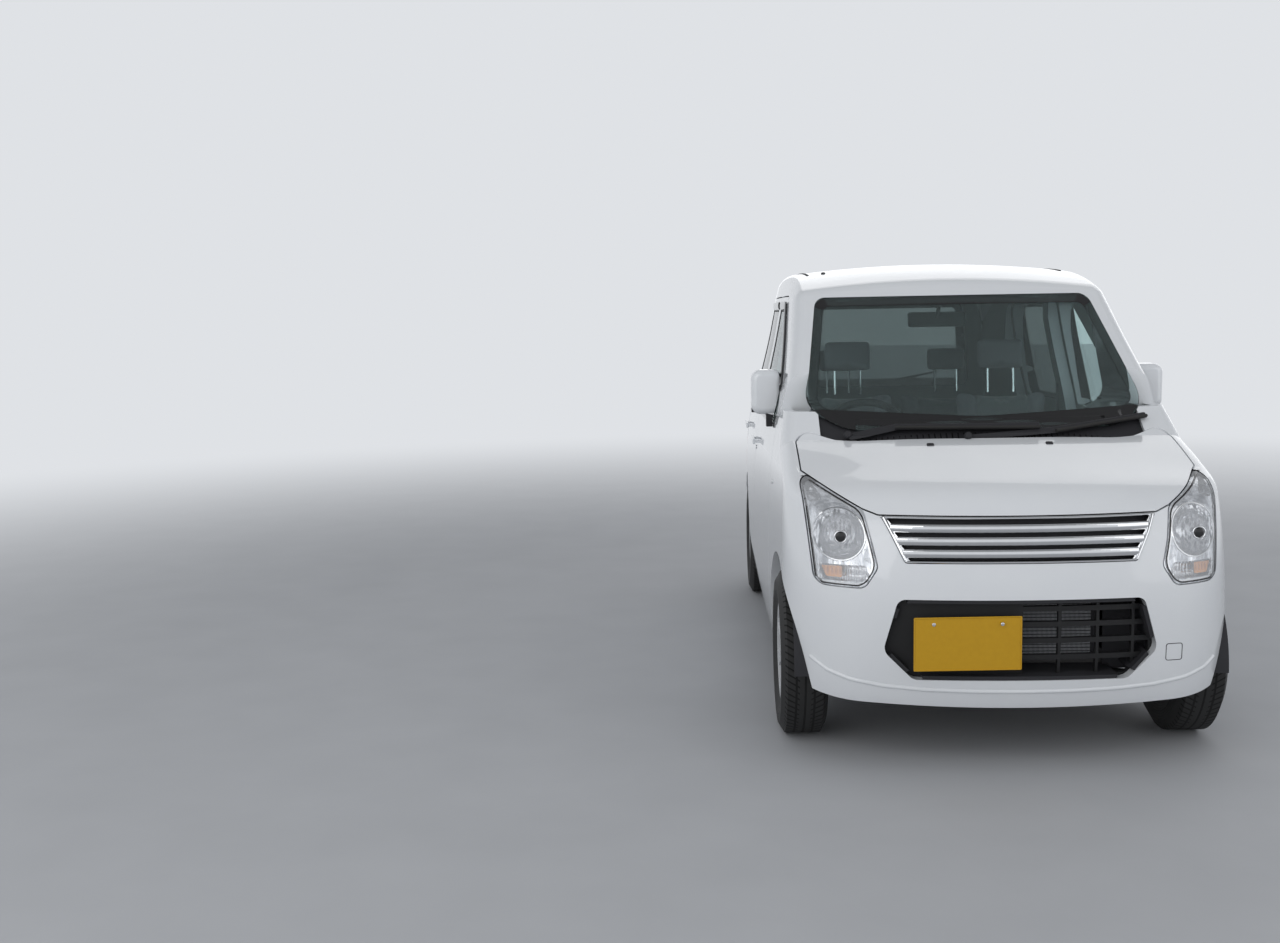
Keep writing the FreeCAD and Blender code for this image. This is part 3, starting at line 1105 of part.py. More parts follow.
# Rear axle: beam, trailing arms, spindles, brake drums and springs on their seats
axle_beam = new_body("rear_axle")
pad(axle_beam, draw_circles(axle_beam, "YZ_Plane", "Beam", [("", "", "beam_radius")]),
    "rear_floor_half + rear_floor_half", middle=True)
ARM = [("beam_ahead - arm_reach", ""), ("beam_ahead - arm_reach", "arm_width"),
       ("beam_ahead - arm_reach + arm_width", "arm_width"),
       ("beam_ahead - hub_bore", "beam_radius + hub_bore"),
       ("beam_ahead + hub_bore", "beam_radius + hub_bore"),
       ("beam_ahead + hub_bore", ""), ("", "- beam_radius/2")]
DISC = "rear_track/2 + rim_width/2 - cover_depth/2 - cover_depth"
SPINDLE_START = "rear_floor_half - arm_width/2"
for side_name, flip in (("Left", False), ("Right", True)):
    turn = negative if flip else str
    pad(axle_beam, draw(axle_beam, "YZ_Plane", "Arm" + side_name, ARM, turn("rear_floor_half - arm_width")),
        "arm_width", back=flip)
    pad(axle_beam, draw_circles(axle_beam, "YZ_Plane", "Spindle" + side_name,
                                [("beam_ahead", "beam_radius", "hub_bore")], turn(SPINDLE_START)),
        DISC + " - running_fit " + negative(SPINDLE_START), back=flip)
    pad(axle_beam, draw_circles(axle_beam, "YZ_Plane", "Drum" + side_name,
                                [("beam_ahead", "beam_radius", "drum_radius")],
                                turn(DISC + " - hub_clearance - drum_width")), "drum_width", back=flip)
    near, far = turn("rear_floor_half - arm_width/2"), turn("rear_floor_half - arm_width - drum_radius")
    low_x, high_x = (far, near) if not flip else (near, far)
    pad(axle_beam, draw(axle_beam, "XY_Plane", "SpringSeat" + side_name, [
        (low_x, ""), (high_x, ""), (high_x, "drum_radius"), (low_x, "drum_radius")],
        "beam_radius/2"), "beam_radius/2")
    pad(axle_beam, draw_circles(axle_beam, "XY_Plane", "Spring" + side_name,
                                [(turn("rear_floor_half - arm_width - drum_radius/2"), "drum_radius/2",
                                  "rear_spring_radius")], "beam_radius/2"),
        "rear_floor_up - running_fit - tyre_radius + beam_radius/2")
place(axle_beam, "", REAR_AXLE + " - beam_ahead", "tyre_radius - beam_radius")
keep_body(axle_beam)

# Front subframe: a plate under the engine on two legs, and the lower arms
subframe = new_body("front_subframe")
PLATE_FRONT = FRONT_AXLE + " - ball_radius - arm_width"
PLATE_REAR = FRONT_AXLE + " + beam_ahead + link_end"
PLATE_UP = "link_up + link_wall"
pad(subframe, draw(subframe, "XY_Plane", "Plate", [
    ("- rail_half - rail_width", PLATE_FRONT), ("rail_half + rail_width", PLATE_FRONT),
    ("rail_half + rail_width", PLATE_REAR), ("- rail_half - rail_width", PLATE_REAR)],
    PLATE_UP), "cross_depth")
BALL_X = "front_track/2 - kingpin_inset + link_wall"
ARM_TIP = BALL_X + " + link_end"
LOWER_ARM = [("rail_half", FRONT_AXLE + " - arm_width"), (ARM_TIP, FRONT_AXLE + " - link_end"),
             (ARM_TIP, FRONT_AXLE + " + link_end"), ("rail_half", FRONT_AXLE + " + beam_ahead")]
for side_name, turn in (("Left", str), ("Right", negative)):
    near, far = sorted((turn("rail_half"), turn("rail_half + rail_width")), key=number)
    pad(subframe, draw(subframe, "XY_Plane", "Leg" + side_name, [
        (near, FRONT_AXLE), (far, FRONT_AXLE), (far, PLATE_REAR), (near, PLATE_REAR)], PLATE_UP),
        "rail_up " + negative(PLATE_UP))
    pad(subframe, draw(subframe, "XY_Plane", "Arm" + side_name,
                       [(turn(a), b) for a, b in LOWER_ARM], "link_up"), "link_wall")
    pocket(subframe, draw_circles(subframe, "XY_Plane", "BallSeat" + side_name,
                                  [(turn(BALL_X), FRONT_AXLE, "ball_radius + ball_play")], "link_up"),
           "arm_width", middle=True)
keep_body(subframe)

# Steering wheel
helm = new_body("steering_wheel")
EIGHTH = "wheel_grip_radius/2.414"
GRIP = [("wheel_rim_radius + wheel_grip_radius", EIGHTH),
        ("wheel_rim_radius + " + EIGHTH, "wheel_grip_radius"),
        ("wheel_rim_radius - " + EIGHTH, "wheel_grip_radius"),
        ("wheel_rim_radius - wheel_grip_radius", EIGHTH)]
GRIP += [(a, negative(b)) for a, b in reversed(GRIP)]
revolve(helm, draw(helm, "XZ_Plane", "Grip", GRIP), "V_Axis")
pad(helm, draw_circles(helm, "XY_Plane", "Pad", [("", "", "wheel_hub_radius")]),
    "wheel_grip_radius + wheel_grip_radius", middle=True)
pad(helm, draw(helm, "XY_Plane", "Spoke", [
    ("- wheel_rim_radius", "- wheel_grip_radius"), ("wheel_rim_radius", "- wheel_grip_radius"),
    ("wheel_rim_radius", "wheel_grip_radius"), ("- wheel_rim_radius", "wheel_grip_radius")]),
    "wheel_grip_radius", middle=True)
helm.Placement = Placement(Vector(0, 0, 0), Rotation(Vector(1, 0, 0), mm("wheel_lean") - 90))
place(helm, "- driver_x", NOSE + " + column_back", "column_up")
keep_body(helm)

# Mirrors on the front doors
for name, side_sign in (("left", 1), ("right", -1)):
    x0, x1 = mm("mirror_out"), mm("mirror_out") + mm("mirror_width")
    z0, z1 = mm("mirror_up"), mm("mirror_up") + mm("mirror_height")
    front_y, back_y = nose + mm("mirror_back"), nose + mm("mirror_back") + mm("mirror_depth")
    corner_round = mm("mirror_round") * 1.5
    shape = prism("Y", [(x0, z0, corner_round), (x0, z1, corner_round), (x1, z1, corner_round),
                        (x1, z0, corner_round)], front_y, back_y)
    shape = shape.makeFillet(mm("mirror_round"), [e for e in shape.Edges if e.BoundBox.YMax < front_y + 1])
    foot = block(mm("mirror_out") - 30, mm("mirror_out") + 60, nose + mm("mirror_back") + 10,
                 nose + mm("mirror_back") + 60, 1010, mm("mirror_up") + 40)
    shape = shape.fuse(foot).cut(hull(*OUTER))
    shape = max(shape.Solids, key=lambda s: s.Volume)
    keep_shape("mirror_" + name, shape if side_sign > 0 else mirrored(shape))

# Seats, and the frames that carry the front ones
HEADREST_POST = 6
load_floor = mm("rear_floor_up") + mm("floor_wall")
SEATS = (
    # label, cushion front, underside, cushion top, left and right edges
    ("front_seats", door_front + 400, mm("seat_up"), mm("seat_top"),
     mm("driver_x") - mm("seat_width") / 2, mm("driver_x") + mm("seat_width") / 2),
    ("rear_seat", pillar + 420, load_floor + fit, mm("bench_top"),
     -mm("bench_width") / 2, mm("bench_width") / 2),
)
for label, front_y, low, top, x0, x1 in SEATS:
    line = [(front_y, low, 40), (front_y, top, 50), (front_y + 430, top - 30, 20),
            (front_y + 520, top + 520, 40), (front_y + 600, top + 520, 40), (front_y + 540, low, 40)]
    seat = prism("X", line, x0, x1)
    rest_y, rest_up = front_y + 535, top + 570
    head = [(rest_y - 40, rest_up, 20), (rest_y - 30, rest_up + 160, 25), (rest_y + 40, rest_up + 160, 30),
            (rest_y + 45, rest_up, 20)]
    for middle in [(x0 + x1) / 2] if x0 > 0 else [-mm("headrest_out"), mm("headrest_out")]:
        half_head = mm("headrest_width") / 2
        seat = seat.fuse(prism("X", head, middle - half_head, middle + half_head))
        for post in (middle - half_head / 2, middle + half_head / 2):
            seat = seat.fuse(cylinder("Z", (post, rest_y + 10), HEADREST_POST, top + 500, rest_up + 20))
    keep_shape(label, Part.makeCompound([seat, mirrored(seat)]) if x0 > 0 else seat)

# Seat frames on the floor
frame_front, frame_rear = door_front + 450, door_front + 880
thick, low = mm("seat_rail"), mm("floor_up") + mm("floor_wall")
high = mm("seat_up") - fit
rail_in, rail_far = mm("driver_x") - 170, mm("driver_x") + 170
seat_frame = block(rail_in, rail_far, frame_front, frame_front + thick, high - thick, high)
seat_frame = seat_frame.fuse(block(rail_in, rail_far, frame_rear - thick, frame_rear, high - thick, high))
for x in (rail_in, rail_far - thick):
    seat_frame = seat_frame.fuse(block(x, x + thick, frame_front, frame_rear, high - thick, high))
    for y in (frame_front, frame_rear - thick):
        seat_frame = seat_frame.fuse(block(x, x + thick, y, y + thick, low, high))
seat_frame = seat_frame.removeSplitter()
keep_shape("seat_frames", Part.makeCompound([seat_frame, mirrored(seat_frame)]))


def bent_pipe(corners, radius):
    """A round pipe along a path of points, with a ball at each corner."""
    pipe = Part.makeSphere(radius, corners[1])
    for corner in corners[2:-1]:
        pipe = pipe.fuse(Part.makeSphere(radius, corner))
    for start, end in zip(corners, corners[1:]):
        pipe = pipe.fuse(Part.makeCylinder(radius, (end - start).Length, start, end - start))
    return pipe


# Exhaust: pipe, silencer, tail pipe and four hangers
pipe_x, pipe_z = mm("pipe_out"), mm("pipe_up")
engine_rear = nose + mm("engine_back") + mm("engine_depth")
box_front = rear_axle + mm("silencer_back")
box_low, box_high = mm("silencer_up"), mm("silencer_up") + mm("silencer_height")
box_middle = (box_low + box_high) / 2
path = [Vector(pipe_x, y, z) for y, z in (
    (engine_rear, mm("rail_up") + 20), (engine_rear + 80, mm("rail_up") + 20),
    (engine_rear + 117, mm("rail_up") - 30), (engine_rear + 130, pipe_z + 50), (engine_rear + 180, pipe_z),
    (rear_axle, pipe_z), (rear_axle + 95, box_middle), (box_front + 5, box_middle))]
exhaust = bent_pipe(path, mm("pipe_radius"))
half_box = mm("silencer_width") / 2
silencer = [(-half_box, box_low, 40), (half_box, box_low, 40), (half_box, box_high, 40),
            (-half_box, box_high, 40)]
exhaust = exhaust.fuse(prism("Y", silencer, box_front, box_front + mm("silencer_depth")))
exhaust = exhaust.fuse(cylinder("Y", (-mm("tail_pipe_out"), box_low + 6),
                                mm("tail_pipe_radius"), box_front + mm("silencer_depth") - 5, tail - 12))
HANGER = 8
HANGERS = (
    # across, back, low end, high end
    (pipe_x, 0, pipe_z, mm("floor_up")),
    (pipe_x, door_front + 100, pipe_z, mm("floor_up")),
    (-150, box_front + 80, box_high - 5, mm("rear_floor_up")),
    (150, box_front + 80, box_high - 5, mm("rear_floor_up")),
)
for x, y, low, high in HANGERS:
    exhaust = exhaust.fuse(block(x - HANGER, x + HANGER, y - HANGER, y + HANGER, low, high))
keep_shape("exhaust", exhaust.Solids[0])

doc.recompute()
for thing in doc.Objects:
    if "Invalid" in thing.State or "Error" in thing.State:
        raise RuntimeError("%s did not build: %s" % (thing.Label, thing.State))
os.makedirs("parts", exist_ok=True)
for node in nodes:
    if node.Shape.isNull() or not node.Shape.isValid():
        raise RuntimeError(node.Label + " has no sound shape")
    node.Shape.exportStep(os.path.join("parts", node.Label + ".step"))
    print("%-20s %d solids  %.5f m3" % (node.Label, len(node.Shape.Solids), node.Shape.Volume / 1e9))
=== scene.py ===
"""Looks of a white five-door kei car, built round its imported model. Lengths are in metres."""
import logging
import math
from collections.abc import Callable, Iterable, Sequence
from dataclasses import dataclass, field
from enum import Enum

import bmesh
import bpy
from mathutils import Matrix, Vector
from mathutils.bvhtree import BVHTree


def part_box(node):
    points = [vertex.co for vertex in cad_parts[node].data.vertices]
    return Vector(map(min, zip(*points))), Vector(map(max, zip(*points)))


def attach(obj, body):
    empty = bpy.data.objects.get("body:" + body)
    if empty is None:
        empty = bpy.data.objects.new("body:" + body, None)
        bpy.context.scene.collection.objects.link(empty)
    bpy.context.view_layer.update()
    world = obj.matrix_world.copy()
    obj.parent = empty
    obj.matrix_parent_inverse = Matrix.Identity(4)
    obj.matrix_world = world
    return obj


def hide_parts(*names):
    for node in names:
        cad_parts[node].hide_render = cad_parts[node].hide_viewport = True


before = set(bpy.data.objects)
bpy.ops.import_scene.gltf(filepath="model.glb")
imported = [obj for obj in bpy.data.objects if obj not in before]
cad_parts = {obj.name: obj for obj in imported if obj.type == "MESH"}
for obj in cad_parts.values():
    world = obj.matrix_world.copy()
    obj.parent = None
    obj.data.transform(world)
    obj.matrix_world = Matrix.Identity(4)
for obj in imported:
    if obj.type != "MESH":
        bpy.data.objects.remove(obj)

log = logging.getLogger("kei_car")
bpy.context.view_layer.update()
NOSE = -1.6975
FRONT_AXLE, REAR_AXLE = -1.1925, 1.2325
AXLE_UP = 0.2785
HALF_TRACK = {"front": 0.6475, "rear": 0.645}
TREAD_RADIUS, WALL_RADIUS = 0.2665, 0.246
LAMP_BOWL = (0.551, NOSE + 0.105, 0.748)
PLATE_SIZE = (0.330, 0.0016, 0.165)
PLATE_ROUNDING = 0.0007
PLATE_BOLTS = ((-0.105, 0.062), (0.105, 0.062))
SIDES = (("left", 1.0), ("right", -1.0))
OUTSIDE = 3.0
SHARP_ANGLE = 35.0
Colour = tuple[float, float, float]
Point = tuple[float, float, float]
Flat = tuple[float, float]
Socket = bpy.types.NodeSocket


class Pattern(Enum):
    """What a finish's colour, gloss and relief follow."""

    CLOUD = "cloud"
    GRAIN = "grain"
    WEAVE = "weave"
    TREAD = "tread"
    FINS = "fins"
    FACETS = "facets"
    # Dark streaks painted into bright metal as painted reflections, for the headlamps' bowls and housing.
    STREAKS = "streaks"
    DIAL = "dial"


class Look(Enum):
    """The way in which a strip or patch is pressed onto the car's skin."""

    FRONT = (0.0, 1.0, 0.0)
    BACK = (0.0, -1.0, 0.0)
    LEFT = (-1.0, 0.0, 0.0)
    RIGHT = (1.0, 0.0, 0.0)
    TOP = (0.0, 0.0, -1.0)


@dataclass
class Graph:
    """Short ways to add shader nodes to a tree."""

    tree: bpy.types.NodeTree

    def math(self, kind: str, first: Socket | float, second: Socket | float = 0.0,
             clamp: bool = False) -> Socket:
        """Work out one step of arithmetic.

        Args:
            kind: The operation of the Math node.
            first: The first number or socket.
            second: The second number or socket.
            clamp: Whether the result is held between 0 and 1.

        Returns:
            The socket with the result.
        """
        node = self.tree.nodes.new("ShaderNodeMath")
        node.operation = kind
        node.use_clamp = clamp
        for socket, value in zip(node.inputs, (first, second)):
            if isinstance(value, (int, float)):
                socket.default_value = value
            else:
                self.tree.links.new(value, socket)
        return node.outputs["Value"]

    def split(self, vector: Socket) -> tuple[Socket, Socket, Socket]:
        """Take a vector's three numbers apart.

        Args:
            vector: The socket with the vector.

        Returns:
            The sockets with x, y and z.
        """
        node = self.tree.nodes.new("ShaderNodeSeparateXYZ")
        self.tree.links.new(vector, node.inputs["Vector"])
        return node.outputs["X"], node.outputs["Y"], node.outputs["Z"]

    def stripes(self, value: Socket, pitch: float, width: float) -> Socket:
        """Mark even stripes along one number.

        Args:
            value: The number that the stripes follow.
            pitch: The distance from one stripe to the next.
            width: The width of a stripe.

        Returns:
            A socket with 1 inside a stripe and 0 elsewhere.
        """
        part = self.math("FRACT", self.math("ADD", self.math("DIVIDE", value, pitch), 1000.5))
        away = self.math("ABSOLUTE", self.math("SUBTRACT", part, 0.5))
        return self.math("LESS_THAN", away, width / pitch / 2)


@dataclass(frozen=True)
class Finish:
    """One surface finish, worked out from patterns in object coordinates."""

    name: str
    slot: str
    colour: Colour
    shade: Colour
    rough: tuple[float, float]
    metallic: float = 0.0
    coat: float = 0.0
    clear: float = 0.0
    index: float = 1.45
    sheen: float = 0.0
    scale: float = 60.0
    relief: float = 0.00005
    pattern: Pattern = Pattern.CLOUD
    centre: Point = (0.0, 0.0, 0.0)

    def material(self) -> bpy.types.Material:
        """Build the material once and hand out the same one after that.

        Returns:
            The material that carries this finish.
        """
        made = bpy.data.materials.get(self.name)
        if made is not None:
            return made
        made = bpy.data.materials.new(self.name)
        made.use_nodes = True
        tree = made.node_tree
        shader = tree.nodes["Principled BSDF"]
        shader.inputs["Metallic"].default_value = self.metallic
        shader.inputs["Coat Weight"].default_value = self.coat
        shader.inputs["Coat Roughness"].default_value = 0.03
        shader.inputs["IOR"].default_value = self.index
        shader.inputs["Transmission Weight"].default_value = self.clear
        shader.inputs["Sheen Weight"].default_value = self.sheen
        where = tree.nodes.new("ShaderNodeTexCoord")
        stretch = tree.nodes.new("ShaderNodeMapping")
        stretch.inputs["Location"].default_value = [-c for c in self.centre]
        # Stretch the painted reflection streaks upright.
        if self.pattern is Pattern.STREAKS:
            stretch.inputs["Scale"].default_value = (1.0, 1.0, 0.22)
        tree.links.new(where.outputs["Object"], stretch.inputs["Vector"])
        pattern = self.texture(Graph(tree), stretch.outputs["Vector"])
        self.blend_colour(tree, pattern, shader)
        spread = tree.nodes.new("ShaderNodeMapRange")
        spread.inputs["To Min"].default_value = self.rough[0]
        spread.inputs["To Max"].default_value = self.rough[1]
        tree.links.new(pattern, spread.inputs["Value"])
        tree.links.new(spread.outputs["Result"], shader.inputs["Roughness"])
        bump = tree.nodes.new("ShaderNodeBump")
        bump.inputs["Distance"].default_value = self.relief
        bump.invert = self.pattern in (Pattern.TREAD, Pattern.FINS)
        tree.links.new(pattern, bump.inputs["Height"])
        tree.links.new(bump.outputs["Normal"], shader.inputs["Normal"])
        return made

    def texture(self, graph: Graph, where: Socket) -> Socket:
        """Make the grey pattern that colour, gloss and relief share.

        Args:
            graph: The material's node graph.
            where: The socket with the coordinates.

        Returns:
            The socket with the pattern's value.
        """
        tree = graph.tree
        if self.pattern in (Pattern.TREAD, Pattern.DIAL):
            return self.tread(graph, where) if self.pattern is Pattern.TREAD else self.dial(graph, where)
        if self.pattern is Pattern.FINS:
            across, _, up = graph.split(where)
            fins, tubes = graph.stripes(across, 0.004, 0.0018), graph.stripes(up, 0.011, 0.003)
            return graph.math("MAXIMUM", fins, tubes)
        # Facets; on the indicator pockets' square reflectors, the dark facets are painted reflections.
        if self.pattern is Pattern.FACETS:
            across, _, up = graph.split(where)
            wave = graph.math("ABSOLUTE", graph.math("SINE", graph.math("MULTIPLY", across, self.scale)))
            rise = graph.math("ABSOLUTE", graph.math("SINE", graph.math("MULTIPLY", up, self.scale * 0.35)))
            return graph.math("MULTIPLY", wave, rise)
        if self.pattern is Pattern.GRAIN:
            cells = tree.nodes.new("ShaderNodeTexVoronoi")
            cells.inputs["Scale"].default_value = self.scale
            tree.links.new(where, cells.inputs["Vector"])
            return cells.outputs["Distance"]
        if self.pattern is Pattern.WEAVE:
            across, along, up = graph.split(where)
            threads = self.scale * 6.0
            warp = graph.math("SINE", graph.math("MULTIPLY", graph.math("ADD", across, up), threads))
            weft = graph.math("SINE", graph.math("MULTIPLY", graph.math("ADD", along, up), threads))
            woven = graph.math("MULTIPLY", warp, weft)
            return graph.math("ADD", graph.math("MULTIPLY", woven, 0.5), 0.5, clamp=True)
        noise = tree.nodes.new("ShaderNodeTexNoise")
        noise.inputs["Scale"].default_value = self.scale
        noise.inputs["Detail"].default_value = 3.0
        tree.links.new(where, noise.inputs["Vector"])
        # Painted reflections: where the noise is high, the metal takes its dark second colour.
        if self.pattern is Pattern.STREAKS:
            above = graph.math("SUBTRACT", noise.outputs["Fac"], 0.42)
            return graph.math("MULTIPLY", above, 6.0, clamp=True)
        return noise.outputs["Fac"]

    def tread(self, graph: Graph, where: Socket) -> Socket:
        """Mark a tyre's grooves, cross cuts and the fine rings on its walls, which the colour darkens as
        painted shade.

        Args:
            graph: The material's node graph.
            where: The socket with the coordinates about the wheel's centre.

        Returns:
            A socket with 1 in a groove, less in a wall ring and 0 elsewhere.
        """
        across, along, up = graph.split(where)
        radius = graph.math("SQRT", graph.math("ADD", graph.math("MULTIPLY", along, along),
                                               graph.math("MULTIPLY", up, up)))
        crown = graph.math("GREATER_THAN", radius, TREAD_RADIUS)
        wide = graph.math("ABSOLUTE", across)
        angle = graph.math("ARCTAN2", up, along)
        slanted = graph.math("ADD", angle, graph.math("MULTIPLY", wide, 2.2))
        grooves = graph.math("MULTIPLY", graph.stripes(across, 0.030, 0.007),
                             graph.math("LESS_THAN", wide, 0.056))
        cuts = graph.math("MULTIPLY", graph.stripes(slanted, math.tau / 76, 0.022),
                          graph.math("GREATER_THAN", wide, 0.019))
        tread = graph.math("MULTIPLY", graph.math("MAXIMUM", grooves, cuts), crown)
        rings = graph.math("MULTIPLY", graph.stripes(radius, 0.009, 0.0022),
                           graph.math("LESS_THAN", radius, WALL_RADIUS))
        return graph.math("MAXIMUM", tread, graph.math("MULTIPLY", rings, 0.35))

    def dial(self, graph: Graph, where: Socket) -> Socket:
        """Mark an instrument's ticks round its centre.

        Args:
            graph: The material's node graph.
            where: The socket with the coordinates about the dial's centre.

        Returns:
            A socket with 1 on a tick and 0 elsewhere.
        """
        across, _, up = graph.split(where)
        square = graph.math("ADD", graph.math("MULTIPLY", across, across), graph.math("MULTIPLY", up, up))
        radius = graph.math("SQRT", square)
        band = graph.math("MULTIPLY", graph.math("GREATER_THAN", radius, self.scale * 0.72),
                          graph.math("LESS_THAN", radius, self.scale * 0.92))
        ticks = graph.stripes(graph.math("ARCTAN2", up, across), math.tau / 40, 0.04)
        return graph.math("MULTIPLY", ticks, band)

    def blend_colour(self, tree: bpy.types.NodeTree, pattern: Socket, shader: bpy.types.Node) -> None:
        """Mix the two colours along the pattern.

        Args:
            tree: The material's node tree.
            pattern: The socket with the pattern's value.
            shader: The surface shader.
        """
        mix = tree.nodes.new("ShaderNodeMix")
        mix.data_type = "RGBA"
        mix.inputs["A"].default_value = (*self.colour, 1.0)
        mix.inputs["B"].default_value = (*self.shade, 1.0)
        tree.links.new(pattern, mix.inputs["Factor"])
        tree.links.new(mix.outputs["Result"], shader.inputs["Base Color"])


WHITE_PAINT = Finish("white_paint", "paint", (0.80, 0.82, 0.84), (0.77, 0.79, 0.82), (0.20, 0.28),
                     coat=1.0, scale=9.0, relief=0.00001)
# Black plastic; also the black bands of painted shade on the gap round the upper grille and the towing eye's
# cover.
BLACK_PLASTIC_AND_GAP_SHADE = Finish("black_plastic", "black_plastic", (0.016, 0.016, 0.018), (0.030, 0.030, 0.032),
                       (0.45, 0.62), scale=900.0, relief=0.00006, pattern=Pattern.GRAIN)
BLACK_GLOSS = Finish("black_gloss", "black_plastic", (0.010, 0.010, 0.011), (0.018, 0.018, 0.019),
                     (0.08, 0.16), coat=0.5, scale=40.0, relief=0.00001)
# Black print on glass; also the black bands of painted shade on the gap round each headlamp.
FRIT_AND_GAP_SHADE = Finish("frit_and_gap_shade", "black_plastic", (0.012, 0.012, 0.013), (0.017, 0.017, 0.018),
                    (0.10, 0.18), scale=80.0, relief=0.000005)
RUBBER = Finish("black_rubber", "rubber_black", (0.014, 0.014, 0.014), (0.026, 0.025, 0.024), (0.60, 0.78),
                scale=240.0)
CHROME = Finish("chrome", "chrome_trim", (0.80, 0.81, 0.82), (0.72, 0.73, 0.75), (0.05, 0.11), metallic=1.0,
                scale=30.0, relief=0.000005)
# Headlamp bowl metal; the dark streaks in its colour are painted reflections.
REFLECTOR_PAINTED_REFLECTIONS = Finish("reflector", "lamp_inner", (0.90, 0.92, 0.95), (0.13, 0.14, 0.16), (0.05, 0.14),
                   metallic=1.0, scale=120.0, relief=0.0010, pattern=Pattern.STREAKS)
# Square reflectors of the indicator pockets; the dark facets in their colour are painted reflections.
SQUARES_PAINTED_REFLECTIONS = Finish("square_reflector_painted_reflections", "lamp_inner", (0.88, 0.89, 0.91), (0.24, 0.25, 0.27), (0.05, 0.18),
                 metallic=1.0, scale=420.0, relief=0.0008, pattern=Pattern.FACETS)
# Headlamp housing metal; the dark streaks in its colour are painted reflections.
LAMP_SILVER_PAINTED_REFLECTIONS = Finish("lamp_silver_painted_reflections", "lamp_inner", (0.86, 0.88, 0.91), (0.42, 0.44, 0.47), (0.10, 0.20),
                     metallic=1.0, scale=34.0, relief=0.0002, pattern=Pattern.STREAKS)
LAMP_AMBER = Finish("lamp_amber", "lamp_inner", (0.80, 0.34, 0.05), (0.42, 0.15, 0.02), (0.10, 0.22),
                    metallic=0.3, scale=260.0, relief=0.0006, pattern=Pattern.FACETS)
CLEAR = Finish("clear_lens", "clear_lens", (0.97, 0.985, 0.99), (0.95, 0.97, 0.98), (0.0, 0.004), clear=1.0,
               index=1.10, scale=20.0, relief=0.000001)
RED_LENS = Finish("red_lens", "red_lens", (0.42, 0.010, 0.012), (0.24, 0.005, 0.007), (0.04, 0.12), coat=0.8,
                  scale=160.0, relief=0.0003, pattern=Pattern.FACETS)
CLEAR_LENS_REAR = Finish("rear_clear", "red_lens", (0.72, 0.74, 0.75), (0.52, 0.54, 0.56), (0.04, 0.12),
                         coat=0.8, scale=160.0, relief=0.0003, pattern=Pattern.FACETS)
AMBER_LENS = Finish("rear_amber", "red_lens", (0.70, 0.24, 0.03), (0.50, 0.15, 0.02), (0.04, 0.12), coat=0.8,
                    scale=160.0, relief=0.0003, pattern=Pattern.FACETS)
GLASS = Finish("tinted_glass", "window", (0.60, 0.69, 0.69), (0.55, 0.65, 0.65), (0.01, 0.02), clear=0.94,
               index=1.1, scale=6.0, relief=0.000002)
DARK_GLASS = Finish("dark_glass", "privacy_window", (0.14, 0.16, 0.16), (0.11, 0.13, 0.13), (0.01, 0.02),
                    clear=0.85, index=1.1, scale=6.0, relief=0.000002)
MIRROR_GLASS = Finish("mirror_glass", "chrome_trim", (0.74, 0.77, 0.80), (0.70, 0.73, 0.77), (0.02, 0.04),
                      metallic=1.0, scale=20.0, relief=0.000002)
GREY_TRIM = Finish("grey_trim", "interior", (0.22, 0.245, 0.235), (0.28, 0.305, 0.295), (0.5, 0.7),
                   scale=700.0, relief=0.00008, pattern=Pattern.GRAIN)
DARK_TRIM = Finish("dark_trim", "interior", (0.050, 0.054, 0.053), (0.075, 0.080, 0.078), (0.5, 0.7),
                   scale=700.0, relief=0.00008, pattern=Pattern.GRAIN)
HEADLINER = Finish("headliner", "interior", (0.46, 0.47, 0.46), (0.54, 0.55, 0.54), (0.8, 0.95), scale=260.0,
                   relief=0.0001, sheen=0.2)
CARPET = Finish("carpet", "interior", (0.050, 0.052, 0.052), (0.085, 0.087, 0.087), (0.85, 0.98), scale=420.0,
                relief=0.0006, sheen=0.3)
SEAT_CLOTH = Finish("seat_cloth", "seat_cloth", (0.20, 0.21, 0.215), (0.31, 0.32, 0.325), (0.75, 0.95),
                    sheen=0.4, scale=260.0, relief=0.0003, pattern=Pattern.WEAVE)
SEAT_PANEL = Finish("seat_panel", "seat_cloth", (0.13, 0.135, 0.14), (0.22, 0.225, 0.23), (0.75, 0.95),
                    sheen=0.4, scale=180.0, relief=0.0003, pattern=Pattern.WEAVE)
WEBBING = Finish("webbing", "seat_cloth", (0.035, 0.036, 0.037), (0.070, 0.071, 0.072), (0.6, 0.8), sheen=0.2,
                 scale=330.0, relief=0.0002, pattern=Pattern.WEAVE)
UNDERSEAL = Finish("underseal", "floor_metal", (0.045, 0.045, 0.048), (0.075, 0.074, 0.072), (0.55, 0.8),
                   scale=90.0, relief=0.0003)
CAST_METAL = Finish("cast_metal", "engine_metal", (0.34, 0.34, 0.34), (0.46, 0.46, 0.45), (0.38, 0.55),
                    metallic=0.9, scale=200.0, relief=0.0003)
CORE_FINS = Finish("core_fins", "engine_metal", (0.50, 0.51, 0.53), (0.05, 0.05, 0.055), (0.4, 0.6),
                   metallic=0.3, relief=0.001, pattern=Pattern.FINS)
GRILLE_BLACK = Finish("grille_black", "black_plastic", (0.006, 0.006, 0.007), (0.012, 0.012, 0.013),
                      (0.5, 0.65), scale=900.0, relief=0.00006, pattern=Pattern.GRAIN)
CHASSIS_BLACK = Finish("chassis_black", "chassis", (0.025, 0.025, 0.026), (0.045, 0.043, 0.041), (0.4, 0.6),
                       scale=80.0, relief=0.0002)
SPRING_GREY = Finish("spring_grey", "chassis", (0.075, 0.077, 0.080), (0.10, 0.10, 0.105), (0.35, 0.5),
                     scale=120.0, relief=0.00005)
